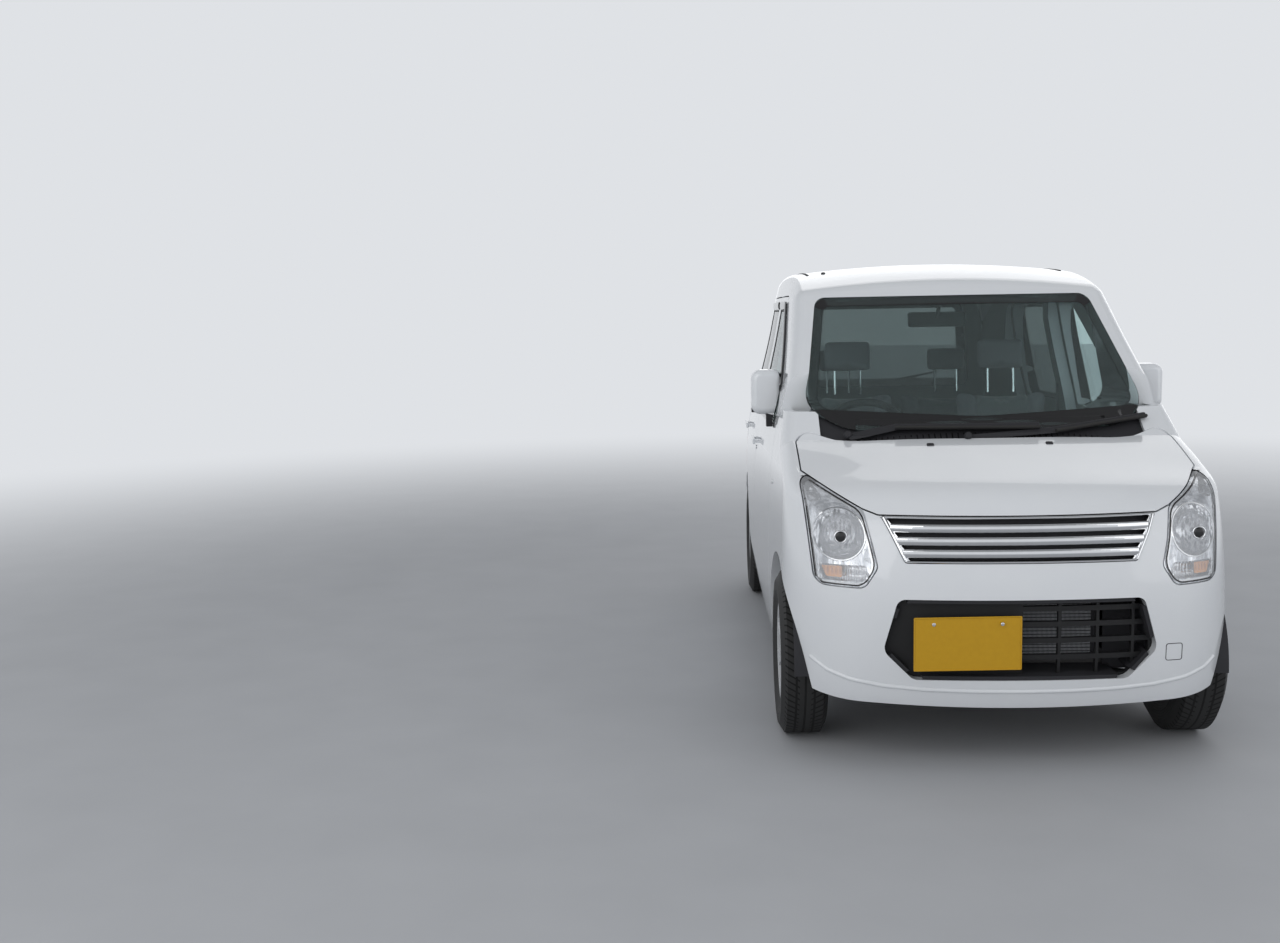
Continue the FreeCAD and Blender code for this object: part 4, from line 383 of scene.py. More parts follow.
PIPE_STEEL = Finish("pipe_steel", "pipe_metal", (0.34, 0.32, 0.29), (0.45, 0.42, 0.38), (0.3, 0.5),
                    metallic=0.95, scale=90.0, relief=0.00005)
COVER_SILVER = Finish("cover_silver", "cover_silver", (0.56, 0.57, 0.59), (0.50, 0.51, 0.54), (0.25, 0.36),
                      metallic=0.55, coat=0.5, scale=40.0, relief=0.00001)
RIM_STEEL = Finish("rim_steel", "cover_silver", (0.07, 0.07, 0.075), (0.11, 0.11, 0.115), (0.4, 0.55),
                   metallic=0.4, scale=60.0, relief=0.00004)
PLATE_OCHRE = Finish("plate_ochre", "paint", (0.60, 0.335, 0.010), (0.54, 0.295, 0.008), (0.32, 0.45),
                     scale=70.0, relief=0.00004)


def tyre_finish(end: str, side: str, sign: float) -> Finish:
    """Make the rubber of one tyre, with its tread about that wheel's centre and painted shade in its grooves.

    Args:
        end: Front or rear.
        side: Left or right.
        sign: 1 for the left side and -1 for the right.

    Returns:
        The finish of that tyre.
    """
    axle = FRONT_AXLE if end == "front" else REAR_AXLE
    # The darker second colour is painted shade in the grooves and wall rings.
    return Finish("tyre_%s_%s" % (end, side), "tyre", (0.024, 0.024, 0.024), (0.006, 0.006, 0.006),
                  (0.62, 0.85), relief=0.004, pattern=Pattern.TREAD,
                  centre=(sign * HALF_TRACK[end], axle, AXLE_UP))


def block(size: Point, rounding: float = 0.0, segments: int = 3) -> bmesh.types.BMesh:
    """Make a box with rounded edges about the origin.

    Args:
        size: The lengths along x, y and z.
        rounding: The radius of its edges.
        segments: The steps in each rounded edge.

    Returns:
        The box.
    """
    mesh = bmesh.new()
    bmesh.ops.create_cube(mesh, size=1.0)
    bmesh.ops.scale(mesh, vec=size, verts=mesh.verts)
    if rounding:
        bmesh.ops.bevel(mesh, geom=mesh.edges[:], offset=rounding, segments=segments, profile=0.5,
                        affect="EDGES", material=-1)
    return mesh


def drum(radius: float, depth: float, rounding: float = 0.0, far: float | None = None,
         sides: int = 40) -> bmesh.types.BMesh:
    """Make a round piece about the z axis, centred on the origin.

    Args:
        radius: The radius at its low end.
        depth: The length along z.
        rounding: The radius of its two rims.
        far: The radius at its high end, where it differs.
        sides: The sides round it.

    Returns:
        The drum.
    """
    mesh = bmesh.new()
    bmesh.ops.create_cone(mesh, cap_ends=True, segments=sides, radius1=radius,
                          radius2=radius if far is None else far, depth=depth)
    if rounding:
        rims = [e for e in mesh.edges if abs(e.verts[0].co.z - e.verts[1].co.z) < 1e-6]
        bmesh.ops.bevel(mesh, geom=rims, offset=rounding, segments=3, profile=0.5, affect="EDGES",
                        material=-1)
    return mesh


def ring(radius: float, section: float, flat: float = 1.0, steps: int = 56) -> bmesh.types.BMesh:
    """Make a round hoop about the z axis.

    Args:
        radius: From the centre to the middle of its section.
        section: The radius of its section.
        flat: How tall the section is for its width.
        steps: The steps round the hoop.

    Returns:
        The hoop.
    """
    mesh = bmesh.new()
    bmesh.ops.create_circle(mesh, radius=section, segments=12)
    bmesh.ops.scale(mesh, vec=(1.0, flat, 1.0), verts=mesh.verts)
    place = Matrix.Translation((radius, 0.0, 0.0)) @ Matrix.Rotation(math.pi / 2, 4, "X")
    bmesh.ops.transform(mesh, matrix=place, verts=mesh.verts)
    bmesh.ops.spin(mesh, geom=mesh.verts[:] + mesh.edges[:], cent=(0, 0, 0), axis=(0, 0, 1),
                   angle=math.tau, steps=steps, use_merge=True)
    bmesh.ops.remove_doubles(mesh, verts=mesh.verts, dist=1e-6)
    return mesh


def rod(path: Iterable[Point], radius: float, flat: Point = (1.0, 1.0, 1.0), sides: int = 10,
        end: float = 1.0) -> bmesh.types.BMesh:
    """Draw a bar out along a path, keeping its section square to the way that it goes.

    Args:
        path: The points that it goes through.
        radius: The radius of its section.
        flat: Scales for its start section along the car's axes.
        sides: The sides round it.
        end: How wide its last section is for its first.

    Returns:
        The bar.
    """
    points = [Vector(p) for p in path]
    last = len(points) - 1
    ways = [(points[min(i + 1, last)] - points[max(i - 1, 0)]).normalized() for i in range(len(points))]
    mesh = bmesh.new()
    start = Matrix.Translation(points[0]) @ ways[0].to_track_quat("Z", "Y").to_matrix().to_4x4()
    bmesh.ops.create_circle(mesh, cap_ends=True, radius=radius, segments=sides, matrix=start)
    bmesh.ops.scale(mesh, vec=flat, verts=mesh.verts, space=Matrix.Translation(-points[0]))
    mesh.faces.ensure_lookup_table()
    face = mesh.faces[0]
    shrink = end ** (1.0 / last)
    for i in range(1, len(points)):
        made = bmesh.ops.extrude_face_region(mesh, geom=[face])["geom"]
        turn = ways[i - 1].rotation_difference(ways[i]).to_matrix().to_4x4()
        back = Matrix.Translation(-points[i - 1])
        move = Matrix.Translation(points[i]) @ turn @ Matrix.Scale(shrink, 4) @ back
        corners = [g for g in made if isinstance(g, bmesh.types.BMVert)]
        bmesh.ops.transform(mesh, matrix=move, verts=corners)
        face = next(g for g in made if isinstance(g, bmesh.types.BMFace))
    return mesh


def coil(base: Point, way: Vector, radius: float, wire: float, length: float,
         turns: float) -> bmesh.types.BMesh:
    """Wind a round spring about an axis.

    Args:
        base: The middle of its low end.
        way: The way that its axis points.
        radius: The radius of the winding.
        wire: The radius of the wire.
        length: How long the spring is.
        turns: How many turns it has.

    Returns:
        The spring.
    """
    steps = int(turns * 20)
    place = Matrix.Translation(base) @ way.to_track_quat("Z", "Y").to_matrix().to_4x4()
    path = [place @ Vector((radius * math.cos(turns * math.tau * i / steps),
                            radius * math.sin(turns * math.tau * i / steps), length * i / steps))
            for i in range(steps + 1)]
    return rod(path, wire, sides=8)


def outside(spot: Flat, look: Look) -> Vector:
    """Give the place outside the car from which a spot on its skin is looked at.

    Args:
        spot: Across and up, or across and back for a top view.
        look: The way that is looked.

    Returns:
        The place, well clear of the car.
    """
    across, up = spot
    away = [-OUTSIDE * c for c in look.value]
    if look in (Look.FRONT, Look.BACK):
        return Vector((across, away[1], up))
    if look is Look.TOP:
        return Vector((across, up, away[2]))
    return Vector((away[0], across, up))


def even(start: Flat, end: Flat, steps: int) -> list[Flat]:
    """Space spots evenly from one to another.

    Args:
        start: The first spot.
        end: The last spot.
        steps: The steps between them.

    Returns:
        The spots, with both ends.
    """
    return [(start[0] + (end[0] - start[0]) * i / steps, start[1] + (end[1] - start[1]) * i / steps)
            for i in range(steps + 1)]


def through(corners: Sequence[Flat], steps: int) -> list[Flat]:
    """Space spots evenly from corner to corner, up to the step before the last one.

    Args:
        corners: The corners in order.
        steps: The steps from one corner to the next.

    Returns:
        The spots.
    """
    return [spot for start, end in zip(corners, corners[1:]) for spot in even(start, end, steps)[:-1]]


def outline(corners: Iterable[Flat], rounding: float, look: Look) -> bmesh.types.BMesh:
    """Make a flat face with rounded corners, facing the way that a skin is looked at.

    Args:
        corners: The corners across and up, or across and back for a top view.
        rounding: The radius of the corners.
        look: The way in which the face is looked at.

    Returns:
        The flat face, far outside the car.
    """
    mesh = bmesh.new()
    for corner in corners:
        mesh.verts.new(outside(corner, look))
    mesh.faces.new(mesh.verts)
    bmesh.ops.bevel(mesh, geom=mesh.verts[:], offset=rounding, segments=5, profile=0.5, affect="VERTICES",
                    material=-1)
    return mesh


@dataclass
class Skin:
    """The surface of some nodes, for pressing thin pieces onto it."""

    nodes: tuple[str, ...]
    tree: BVHTree = field(init=False)

    def __post_init__(self) -> None:
        """Join the nodes' faces into one search tree."""
        points, faces = [], []
        for node in self.nodes:
            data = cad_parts[node].data
            start = len(points)
            points += [v.co.copy() for v in data.vertices]
            faces += [[start + i for i in p.vertices] for p in data.polygons]
        self.tree = BVHTree.FromPolygons(points, faces)

    def touch(self, spot: Vector, look: Look, lift: float) -> Vector:
        """Find the surface under a spot that is outside the car.

        Args:
            spot: The place that is looked from.
            look: The way that is looked.
            lift: How far above the surface the answer stays.

        Returns:
            The point above the surface.
        """
        way = Vector(look.value)
        hit = self.tree.ray_cast(spot, way)[0]
        if hit is None:
            near = self.tree.find_nearest(spot + way * OUTSIDE)[0]
            hit = spot + way * (near - spot).dot(way)
        return hit - way * lift

    def meet(self, spot: Flat, look: Look, lift: float) -> Vector:
        """Find the surface at a spot that is given as the surface is looked at.

        Args:
            spot: Across and up, or across and back for a top view.
            look: The way that is looked.
            lift: How far above the surface the answer stays.

        Returns:
            The point above the surface.
        """
        return self.touch(outside(spot, look), look, lift)

    def along(self, spots: Iterable[Flat], look: Look, lift: float) -> list[Vector]:
        """Press a path onto the surface.

        Args:
            spots: The path's spots as the surface is looked at.
            look: The way that is looked.
            lift: How far above the surface the path stays.

        Returns:
            The points above the surface.
        """
        return [self.meet(spot, look, lift) for spot in spots]

    def press(self, mesh: bmesh.types.BMesh, look: Look, lift: float, wall: float) -> bmesh.types.BMesh:
        """Press a flat mesh onto the surface and give it a wall.

        Args:
            mesh: The flat mesh, outside the car.
            look: The way that is looked.
            lift: How far above the surface its outside comes.
            wall: The wall's thickness.

        Returns:
            The pressed mesh.
        """
        for vertex in mesh.verts:
            vertex.co = self.touch(vertex.co, look, lift)
        bmesh.ops.recalc_face_normals(mesh, faces=mesh.faces)
        bmesh.ops.solidify(mesh, geom=mesh.faces[:], thickness=wall)
        return mesh

    def patch(self, corners: Iterable[Flat], rounding: float, look: Look, lift: float,
              wall: float = 0.002) -> bmesh.types.BMesh:
        """Lay a closed patch on the surface.

        Args:
            corners: The patch's corners as the surface is looked at.
            rounding: The radius of its corners.
            look: The way that is looked.
            lift: How far above the surface its outside comes.
            wall: The patch's thickness.

        Returns:
            The patch.
        """
        mesh = outline(corners, rounding, look)
        bmesh.ops.triangulate(mesh, faces=mesh.faces[:])
        for _ in range(2):
            bmesh.ops.subdivide_edges(mesh, edges=mesh.edges[:], cuts=1, use_grid_fill=True)
        return self.press(mesh, look, lift, wall)

    def band(self, corners: Iterable[Flat], rounding: float, width: float, look: Look, lift: float,
             wall: float = 0.002) -> bmesh.types.BMesh:
        """Lay a closed band on the surface, with a hole in its middle.

        Args:
            corners: The band's outer corners as the surface is looked at.
            rounding: The radius of its corners.
            width: How wide the band is.
            look: The way that is looked.
            lift: How far above the surface its outside comes.
            wall: The band's thickness.

        Returns:
            The band.
        """
        mesh = outline(corners, rounding, look)
        middle = mesh.faces[:]
        bmesh.ops.inset_region(mesh, faces=middle, thickness=width, use_even_offset=True,
                               use_boundary=True)
        bmesh.ops.delete(mesh, geom=middle, context="FACES_ONLY")
        long_edges = [e for e in mesh.edges if e.calc_length() > 0.08]
        bmesh.ops.subdivide_edges(mesh, edges=long_edges, cuts=11, use_grid_fill=True)
        return self.press(mesh, look, lift, wall)


@dataclass
class Piece:
    """One piece of the car: a mesh that shapes are added to, then finished."""

    name: str
    finish: Finish
    body: str = "root"
    mesh: bmesh.types.BMesh = field(default_factory=bmesh.new)

    def add(self, shape: bmesh.types.BMesh, at: Point | Vector = (0.0, 0.0, 0.0),
            turn: Matrix | None = None) -> "Piece":
        """Put a shape in its place in this piece.

        Args:
            shape: The shape, about its own origin.
            at: Where its origin goes.
            turn: How it is turned first.

        Returns:
            This piece.
        """
        place = Matrix.Translation(at) @ (turn or Matrix())
        bmesh.ops.transform(shape, matrix=place, verts=shape.verts)
        data = bpy.data.meshes.new("shape")
        shape.to_mesh(data)
        shape.free()
        self.mesh.from_mesh(data)
        bpy.data.meshes.remove(data)
        return self

    def done(self) -> bpy.types.Object:
        """Finish the piece and let it ride on its body.

        Returns:
            The finished object.
        """
        bmesh.ops.recalc_face_normals(self.mesh, faces=self.mesh.faces)
        data = bpy.data.meshes.new(self.name)
        self.mesh.to_mesh(data)
        self.mesh.free()
        data.shade_smooth()
        data.set_sharp_from_angle(angle=math.radians(SHARP_ANGLE))
        data.materials.append(self.finish.material())
        piece = bpy.data.objects.new(self.name, data)
        bpy.context.scene.collection.objects.link(piece)
        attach(piece, self.body)
        log.info("%s rides on %s in %s", self.name, self.body, self.finish.name)
        return piece


def mirrored(spot: Point, sign: float) -> Point:
    """Take a place on the left side to the side that the sign gives."""
    return (spot[0] * sign, spot[1], spot[2])


def side_look(sign: float) -> Look:
    """Say how the side that the sign gives is looked at."""
    return Look.LEFT if sign > 0 else Look.RIGHT


def turned(x: float = 0.0, y: float = 0.0, z: float = 0.0) -> Matrix:
    """Make a turn from degrees about x, then y, then z."""
    return (Matrix.Rotation(math.radians(z), 4, "Z") @ Matrix.Rotation(math.radians(y), 4, "Y")
            @ Matrix.Rotation(math.radians(x), 4, "X"))


def dress(node: str, finish: Finish) -> None:
    """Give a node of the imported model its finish.

    Args:
        node: The node's name.
        finish: The finish that it takes.
    """
    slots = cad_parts[node].data.materials
    slots.clear()
    slots.append(finish.material())


def repaint(node: str, finish: Finish, wanted: Callable[[Vector, Vector], bool]) -> None:
    """Give some of a node's faces a second finish.

    Args:
        node: The node's name.
        finish: The finish that those faces take.
        wanted: Says from a face's middle and direction whether it is one of them.
    """
    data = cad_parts[node].data
    data.materials.append(finish.material())
    index = len(data.materials) - 1
    for polygon in data.polygons:
        if wanted(polygon.center, polygon.normal):
            polygon.material_index = index


@dataclass
class Studio:
    """The floor, the lights and the camera of the photograph."""

    focal_pixels: float = 1371.0
    image_width: float = 1280.0
    film_width: float = 36.0
    eye: Point = (-1.0084, -5.8700, 1.4494)
    yaw: float = 2.22
    pitch: float = -6.55
    roll: float = 1.06
    floor_size: float = 60.0
    fade_from: float = 3.0
    fade_to: float = 11.0
    backdrop: Colour = (0.74, 0.76, 0.79)
    sky_colour: Colour = (0.93, 0.96, 1.0)
    sky_strength: float = 0.46
    sky_ramp: tuple[float, ...] = (0.30, 0.80, 1.0, 0.30)
    aim: Point = (0.0, 0.0, 0.7)
    lamps: tuple[tuple[str, Point, float, float], ...] = (
        ("key", (-4.5, -6.8, 4.0), 7.0, 190.0),
        ("fill", (5.5, -4.5, 3.2), 6.0, 75.0),
        ("rear", (2.5, 6.5, 4.2), 7.0, 90.0),
        ("top", (0.0, 0.0, 6.5), 7.0, 12.0))

    def build(self) -> None:
        """Set up the whole studio."""
        scene = bpy.context.scene
        scene.view_settings.view_transform = "Standard"
        self.place_camera(scene)
        self.lay_floor()
        self.hang_sky(scene)
        self.light(scene)

    def place_camera(self, scene: bpy.types.Scene) -> None:
        """Stand the camera where the photograph was taken.

        Args:
            scene: The scene that takes the camera.
        """
        data = bpy.data.cameras.new("camera")
        data.sensor_width = self.film_width
        data.lens = self.focal_pixels * self.film_width / self.image_width
        data.clip_end = 200.0
        camera = bpy.data.objects.new("camera", data)
        turn = turned(z=self.yaw) @ turned(x=self.pitch) @ turned(y=self.roll) @ turned(x=90.0)
        camera.matrix_world = Matrix.Translation(self.eye) @ turn
        scene.collection.objects.link(camera)
        scene.camera = camera

    def lay_floor(self) -> None:
        """Lay a pale floor that meets the ground under the tyres and fades into the backdrop."""
        mesh = bmesh.new()
        bmesh.ops.create_grid(mesh, x_segments=1, y_segments=1, size=self.floor_size / 2)
        data = bpy.data.meshes.new("floor")
        mesh.to_mesh(data)
        mesh.free()
        floor = bpy.data.objects.new("floor", data)
        bpy.context.scene.collection.objects.link(floor)
        made = Finish("pale_floor", "paint", (0.50, 0.51, 0.53), (0.45, 0.46, 0.48), (0.7, 0.85),
                      scale=3.0).material()
        data.materials.append(made)
        self.fade(made)

    def fade(self, made: bpy.types.Material) -> None:
        """Let a floor's material run out into the backdrop's colour with distance.

        Args:
            made: The floor's material.
        """
        tree = made.node_tree
        graph = Graph(tree)
        where = next(n for n in tree.nodes if n.type == "TEX_COORD")
        across, along, _ = graph.split(where.outputs["Object"])
        away = graph.math("SQRT", graph.math("ADD", graph.math("MULTIPLY", across, across),
                                             graph.math("MULTIPLY", along, along)))
        ramp = tree.nodes.new("ShaderNodeMapRange")
        ramp.interpolation_type = "SMOOTHSTEP"
        ramp.inputs["From Min"].default_value = self.fade_from
        ramp.inputs["From Max"].default_value = self.fade_to
        tree.links.new(away, ramp.inputs["Value"])
        glow = tree.nodes.new("ShaderNodeEmission")
        glow.inputs["Color"].default_value = (*self.backdrop, 1.0)
        mix = tree.nodes.new("ShaderNodeMixShader")
        output = tree.nodes["Material Output"]
        tree.links.new(ramp.outputs["Result"], mix.inputs["Fac"])
        tree.links.new(tree.nodes["Principled BSDF"].outputs["BSDF"], mix.inputs[1])
        tree.links.new(glow.outputs["Emission"], mix.inputs[2])
        tree.links.new(mix.outputs["Shader"], output.inputs["Surface"])

    def hang_sky(self, scene: bpy.types.Scene) -> None:
        """Hang a soft sky that is the plain backdrop to the camera, to metal and through glass.

        Args:
            scene: The scene that takes the sky.
        """
        world = bpy.data.worlds.new("sky")
        world.use_nodes = True
        tree = world.node_tree
        graph = Graph(tree)
        soft = tree.nodes["Background"]
        soft.inputs["Color"].default_value = (*self.sky_colour, 1.0)
        soft.inputs["Strength"].default_value = self.sky_strength
        plain = tree.nodes.new("ShaderNodeBackground")
        plain.inputs["Color"].default_value = (*self.backdrop, 1.0)
        ramp = tree.nodes.new("ShaderNodeMapRange")
        ramp.interpolation_type = "SMOOTHSTEP"
        for name, value in zip(("From Min", "From Max", "To Min", "To Max"), self.sky_ramp):
            ramp.inputs[name].default_value = value
        height = graph.split(tree.nodes.new("ShaderNodeTexCoord").outputs["Generated"])[2]
        tree.links.new(height, ramp.inputs["Value"])
        tree.links.new(ramp.outputs["Result"], plain.inputs["Strength"])
        path = tree.nodes.new("ShaderNodeLightPath")
        seen = graph.math("ADD", path.outputs["Is Camera Ray"], path.outputs["Is Glossy Ray"])
        seen = graph.math("ADD", seen, path.outputs["Is Transmission Ray"], clamp=True)
        mix = tree.nodes.new("ShaderNodeMixShader")
        tree.links.new(seen, mix.inputs["Fac"])
        tree.links.new(soft.outputs["Background"], mix.inputs[1])
        tree.links.new(plain.outputs["Background"], mix.inputs[2])
        tree.links.new(mix.outputs["Shader"], tree.nodes["World Output"].inputs["Surface"])
        scene.world = world

    def light(self, scene: bpy.types.Scene) -> None:
        """Hang soft lamps round the car.

        Args:
            scene: The scene that takes the lamps.
        """
        for name, where, size, power in self.lamps:
            data = bpy.data.lights.new(name, "AREA")
            data.size = size
            data.energy = power
            lamp = bpy.data.objects.new(name, data)
            lamp.location = where
            way = Vector(self.aim) - Vector(where)
            lamp.rotation_euler = way.to_track_quat("-Z", "Y").to_euler()
            scene.collection.objects.link(lamp)


@dataclass
class Frame:
    """The carried-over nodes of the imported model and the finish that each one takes."""

    bowl_radius: float = 0.0775
    pocket_x: Flat = (0.466, 0.616)
    pocket_z: Flat = (0.605, 0.658)
    lamp_back: float = NOSE + 0.30
    door_inside: float = 0.695
    side_inside: float = 0.66
    mirror_foot: float = 1.058
    rim_out: float = 0.028
    finishes: dict[str, Finish] = field(default_factory=lambda: {
        "body_side": WHITE_PAINT, "roof": WHITE_PAINT, "front_fenders": WHITE_PAINT,
        "front_bumper": WHITE_PAINT, "rear_bumper": WHITE_PAINT, "hood": WHITE_PAINT,
        "tailgate": WHITE_PAINT, "fuel_lid": WHITE_PAINT, "front_door": WHITE_PAINT,
        "rear_door": WHITE_PAINT, "mirror": WHITE_PAINT,
        "upper_grille": CHROME, "lower_grille": GRILLE_BLACK, "headlamps": LAMP_SILVER_PAINTED_REFLECTIONS,
        "headlamp_lenses": CLEAR, "cowl": BLACK_PLASTIC_AND_GAP_SHADE, "windscreen": GLASS, "wipers": BLACK_PLASTIC_AND_GAP_SHADE,
        "tail_lamps": RED_LENS, "dashboard": GREY_TRIM, "front_seats": SEAT_CLOTH, "rear_seat": SEAT_CLOTH,
        "floor_pan": UNDERSEAL, "arch_liners": BLACK_PLASTIC_AND_GAP_SHADE, "engine": CAST_METAL, "radiator": CORE_FINS,
        "fuel_tank": BLACK_PLASTIC_AND_GAP_SHADE, "exhaust": PIPE_STEEL, "rear_axle": CHASSIS_BLACK,
        "front_subframe": CHASSIS_BLACK, "tailgate_glass": DARK_GLASS, "steering_wheel": RUBBER,
        "knuckle": CHASSIS_BLACK, "front_glass": GLASS, "rear_glass": DARK_GLASS, "wheel": COVER_SILVER,
        "seat_frames": CHASSIS_BLACK, "front_aprons": UNDERSEAL})

    def build(self) -> None:
        """Dress every node by the first words of its name, then its inner faces."""
        for end in ("front", "rear"):
            for side, sign in SIDES:
                self.finishes["tyre_%s_%s" % (end, side)] = tyre_finish(end, side, sign)
        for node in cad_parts:
            kind = max((k for k in self.finishes if node.startswith(k)), key=len)
            dress(node, self.finishes[kind])
            log.info("%s takes %s", node, self.finishes[kind].name)
        self.line_inside()
        self.line_lamps()

    def line_inside(self) -> None:
        """Trim the faces that look into the cabin, and darken the mirrors' feet and the bare rims."""
        for side, sign in SIDES:
            for end in ("front", "rear"):
                repaint("%s_door_%s" % (end, side), GREY_TRIM,
                        lambda at, way: way.x * sign < -0.4 and abs(at.x) < self.door_inside)
            repaint("body_side_" + side, GREY_TRIM,
                    lambda at, way: way.x * sign < -0.4 and abs(at.x) < self.side_inside)
            repaint("mirror_" + side, BLACK_PLASTIC_AND_GAP_SHADE,
                    lambda at, way: at.z < self.mirror_foot or way.y > 0.8 or way.x * sign < -0.6)
            for end in ("front", "rear"):
                inner = HALF_TRACK[end] + self.rim_out
                repaint("wheel_%s_%s" % (end, side), RIM_STEEL, lambda at, way: abs(at.x) < inner)
        repaint("roof", HEADLINER, lambda at, way: way.z < -0.3)
        repaint("tailgate", GREY_TRIM, lambda at, way: way.y < -0.35 and way.z < 0.3)
        repaint("floor_pan", CARPET, lambda at, way: way.z > 0.5 and at.y > -0.82 and at.z < 0.36)

    def line_lamps(self) -> None:
        """Line the headlamps' bowls and indicator pockets with metal that carries painted reflections, and
        blacken their backs.
        """
        def in_bowl(at: Vector, way: Vector) -> bool:
            """Say whether a face lies in a bowl."""
            away = Vector((abs(at.x) - LAMP_BOWL[0], 0.0, at.z - LAMP_BOWL[2]))
            return away.length < self.bowl_radius and way.y < 0.9

        def in_pocket(at: Vector, way: Vector) -> bool:
            """Say whether a face lies at the bottom of an indicator pocket."""
            (near, far), (low, high) = self.pocket_x, self.pocket_z
            return near < abs(at.x) < far and low < at.z < high and way.y < -0.5

        repaint("headlamps", REFLECTOR_PAINTED_REFLECTIONS, in_bowl)
        repaint("headlamps", SQUARES_PAINTED_REFLECTIONS, in_pocket)
        repaint("headlamps", BLACK_PLASTIC_AND_GAP_SHADE, lambda at, way: at.y > self.lamp_back)


@dataclass
class FrontEnd:
    """What shows between and inside the headlamps."""

    lamp: tuple[Flat, ...] = ((0.658, 0.918), (0.480, 0.821), (0.443, 0.651), (0.481, 0.592), (0.624, 0.596))
    lamp_rounding: float = 0.024
    lamp_tip: Flat = (0.622, 0.868)
    bezel_radius: float = 0.0785
    amber: tuple[Flat, ...] = ((0.545, 0.652), (0.545, 0.617), (0.592, 0.617), (0.606, 0.650))
    fin_start: Flat = (0.484, 0.612)
    fin_pitch: float = 0.0115
    fin_rise: float = 0.045
    fin_count: int = 5
    bars: tuple[Flat, ...] = ((0.7725, 0.395), (0.734, 0.377), (0.6965, 0.359))
    duct: tuple[Flat, ...] = ((-0.418, 0.805), (-0.350, 0.672), (0.350, 0.672), (0.418, 0.805))
    duct_depth: float = 0.030
    # Outline of the black band of painted shade on the gap round the upper grille.
    gap: tuple[Flat, ...] = ((-0.4245, 0.810), (-0.3555, 0.6665), (0.3555, 0.6665), (0.4245, 0.810))
    shroud_size: Point = (0.150, 0.004, 0.262)
    shroud_at: Point = (0.362, NOSE + 0.160, 0.430)
    lower_rim: tuple[Flat, ...] = ((-0.377, 0.555), (-0.423, 0.391), (-0.330, 0.299), (0.330, 0.299),
                                   (0.423, 0.391), (0.377, 0.555))
    plate_at: Point = (-0.168, -1.694, 0.420)
    plate_turn: float = 2.0
    eye_cover: tuple[Flat, ...] = ((0.450, 0.405), (0.450, 0.350), (0.505, 0.350), (0.505, 0.405))
    chin: tuple[Flat, ...] = ((0.640, 0.352), (0.590, 0.318), (0.520, 0.294), (0.420, 0.277), (0.300, 0.268),
                              (0.15, 0.264))
    chin_middle: Flat = (0.0, 0.263)

    def build(self) -> None:
        """Make the lamps' inner parts, the grilles' trim, the plate and the bumper's small parts."""
        self.fill_lamps()
        self.back_grille()
        self.trim_grille()
        self.frame_intake()
        self.hang_plate()
        self.trim_bumper()

    def fill_lamps(self) -> None:
        """Make the bezels, bulb hoods, indicator panels, edges, fins and the painted shade on the gap round
        both headlamps.
        """
        bezels = Piece("lamp_bezels", CHROME)
        hoods = Piece("bulb_hoods", BLACK_GLOSS)
        edges = Piece("lamp_edges", CHROME)
        gap_shade = Piece("lamp_gap_shade", FRIT_AND_GAP_SHADE)
        caps = Piece("bulb_rings", CHROME)
        panels = Piece("indicator_panels", LAMP_AMBER)
        fins = Piece("lamp_fins", CHROME)
        skin, lens = Skin(("headlamps",)), Skin(("headlamp_lenses",))
        facing = turned(x=90.0)
        for _, sign in SIDES:
            x, y, z = mirrored(LAMP_BOWL, sign)
            spots = [(x + self.bezel_radius * math.cos(a), z + self.bezel_radius * math.sin(a))
                     for a in (math.tau * i / 40 for i in range(41))]
            loop = [p + Vector((0.0, 0.002, 0.0)) for p in skin.along(spots, Look.FRONT, 0.0)]
            bezels.add(rod(loop, 0.0042, sides=8))
            hoods.add(drum(0.014, 0.020, 0.005, far=0.016), (x, y - 0.026, z), facing)
            caps.add(drum(0.008, 0.05, 0.002), (x, y, z), facing)
            caps.add(ring(0.0185, 0.0028), (x, y - 0.034, z), facing)
            amber = [(a * sign, b) for a, b in self.amber]
            panels.add(lens.patch(amber, 0.005, Look.FRONT, -0.007, 0.002))
            rim = [(a * sign, b) for a, b in self.lamp]
            edges.add(skin.band(rim, self.lamp_rounding, 0.0095, Look.FRONT, 0.0006, 0.0012))
            # A black band on the lens's edge: painted shade in the gap round the lamp.
            gap_shade.add(lens.band(rim, self.lamp_rounding, 0.0042, Look.FRONT, 0.0006, 0.0012))
            tip = skin.meet((self.lamp_tip[0] * sign, self.lamp_tip[1]), Look.FRONT, 0.006)
            caps.add(drum(0.010, 0.014, 0.003, far=0.007), tip, facing)
            for step in range(self.fin_count):
                across, low = (self.fin_start[0] + step * self.fin_pitch) * sign, self.fin_start[1]
                path = skin.along(even((across, low), (across, low + self.fin_rise), 5), Look.FRONT, 0.010)
                fins.add(rod(path, 0.0014, sides=6))
        for piece in (bezels, hoods, edges, gap_shade, caps, panels, fins):
            piece.done()

    def back_grille(self) -> None:
        """Close the upper grille with a black duct."""
        skin = Skin(("front_bumper", "upper_grille", "hood"))
        Piece("grille_duct", BLACK_PLASTIC_AND_GAP_SHADE).add(
            skin.patch(self.duct, 0.006, Look.FRONT, -self.duct_depth, 0.003)).done()

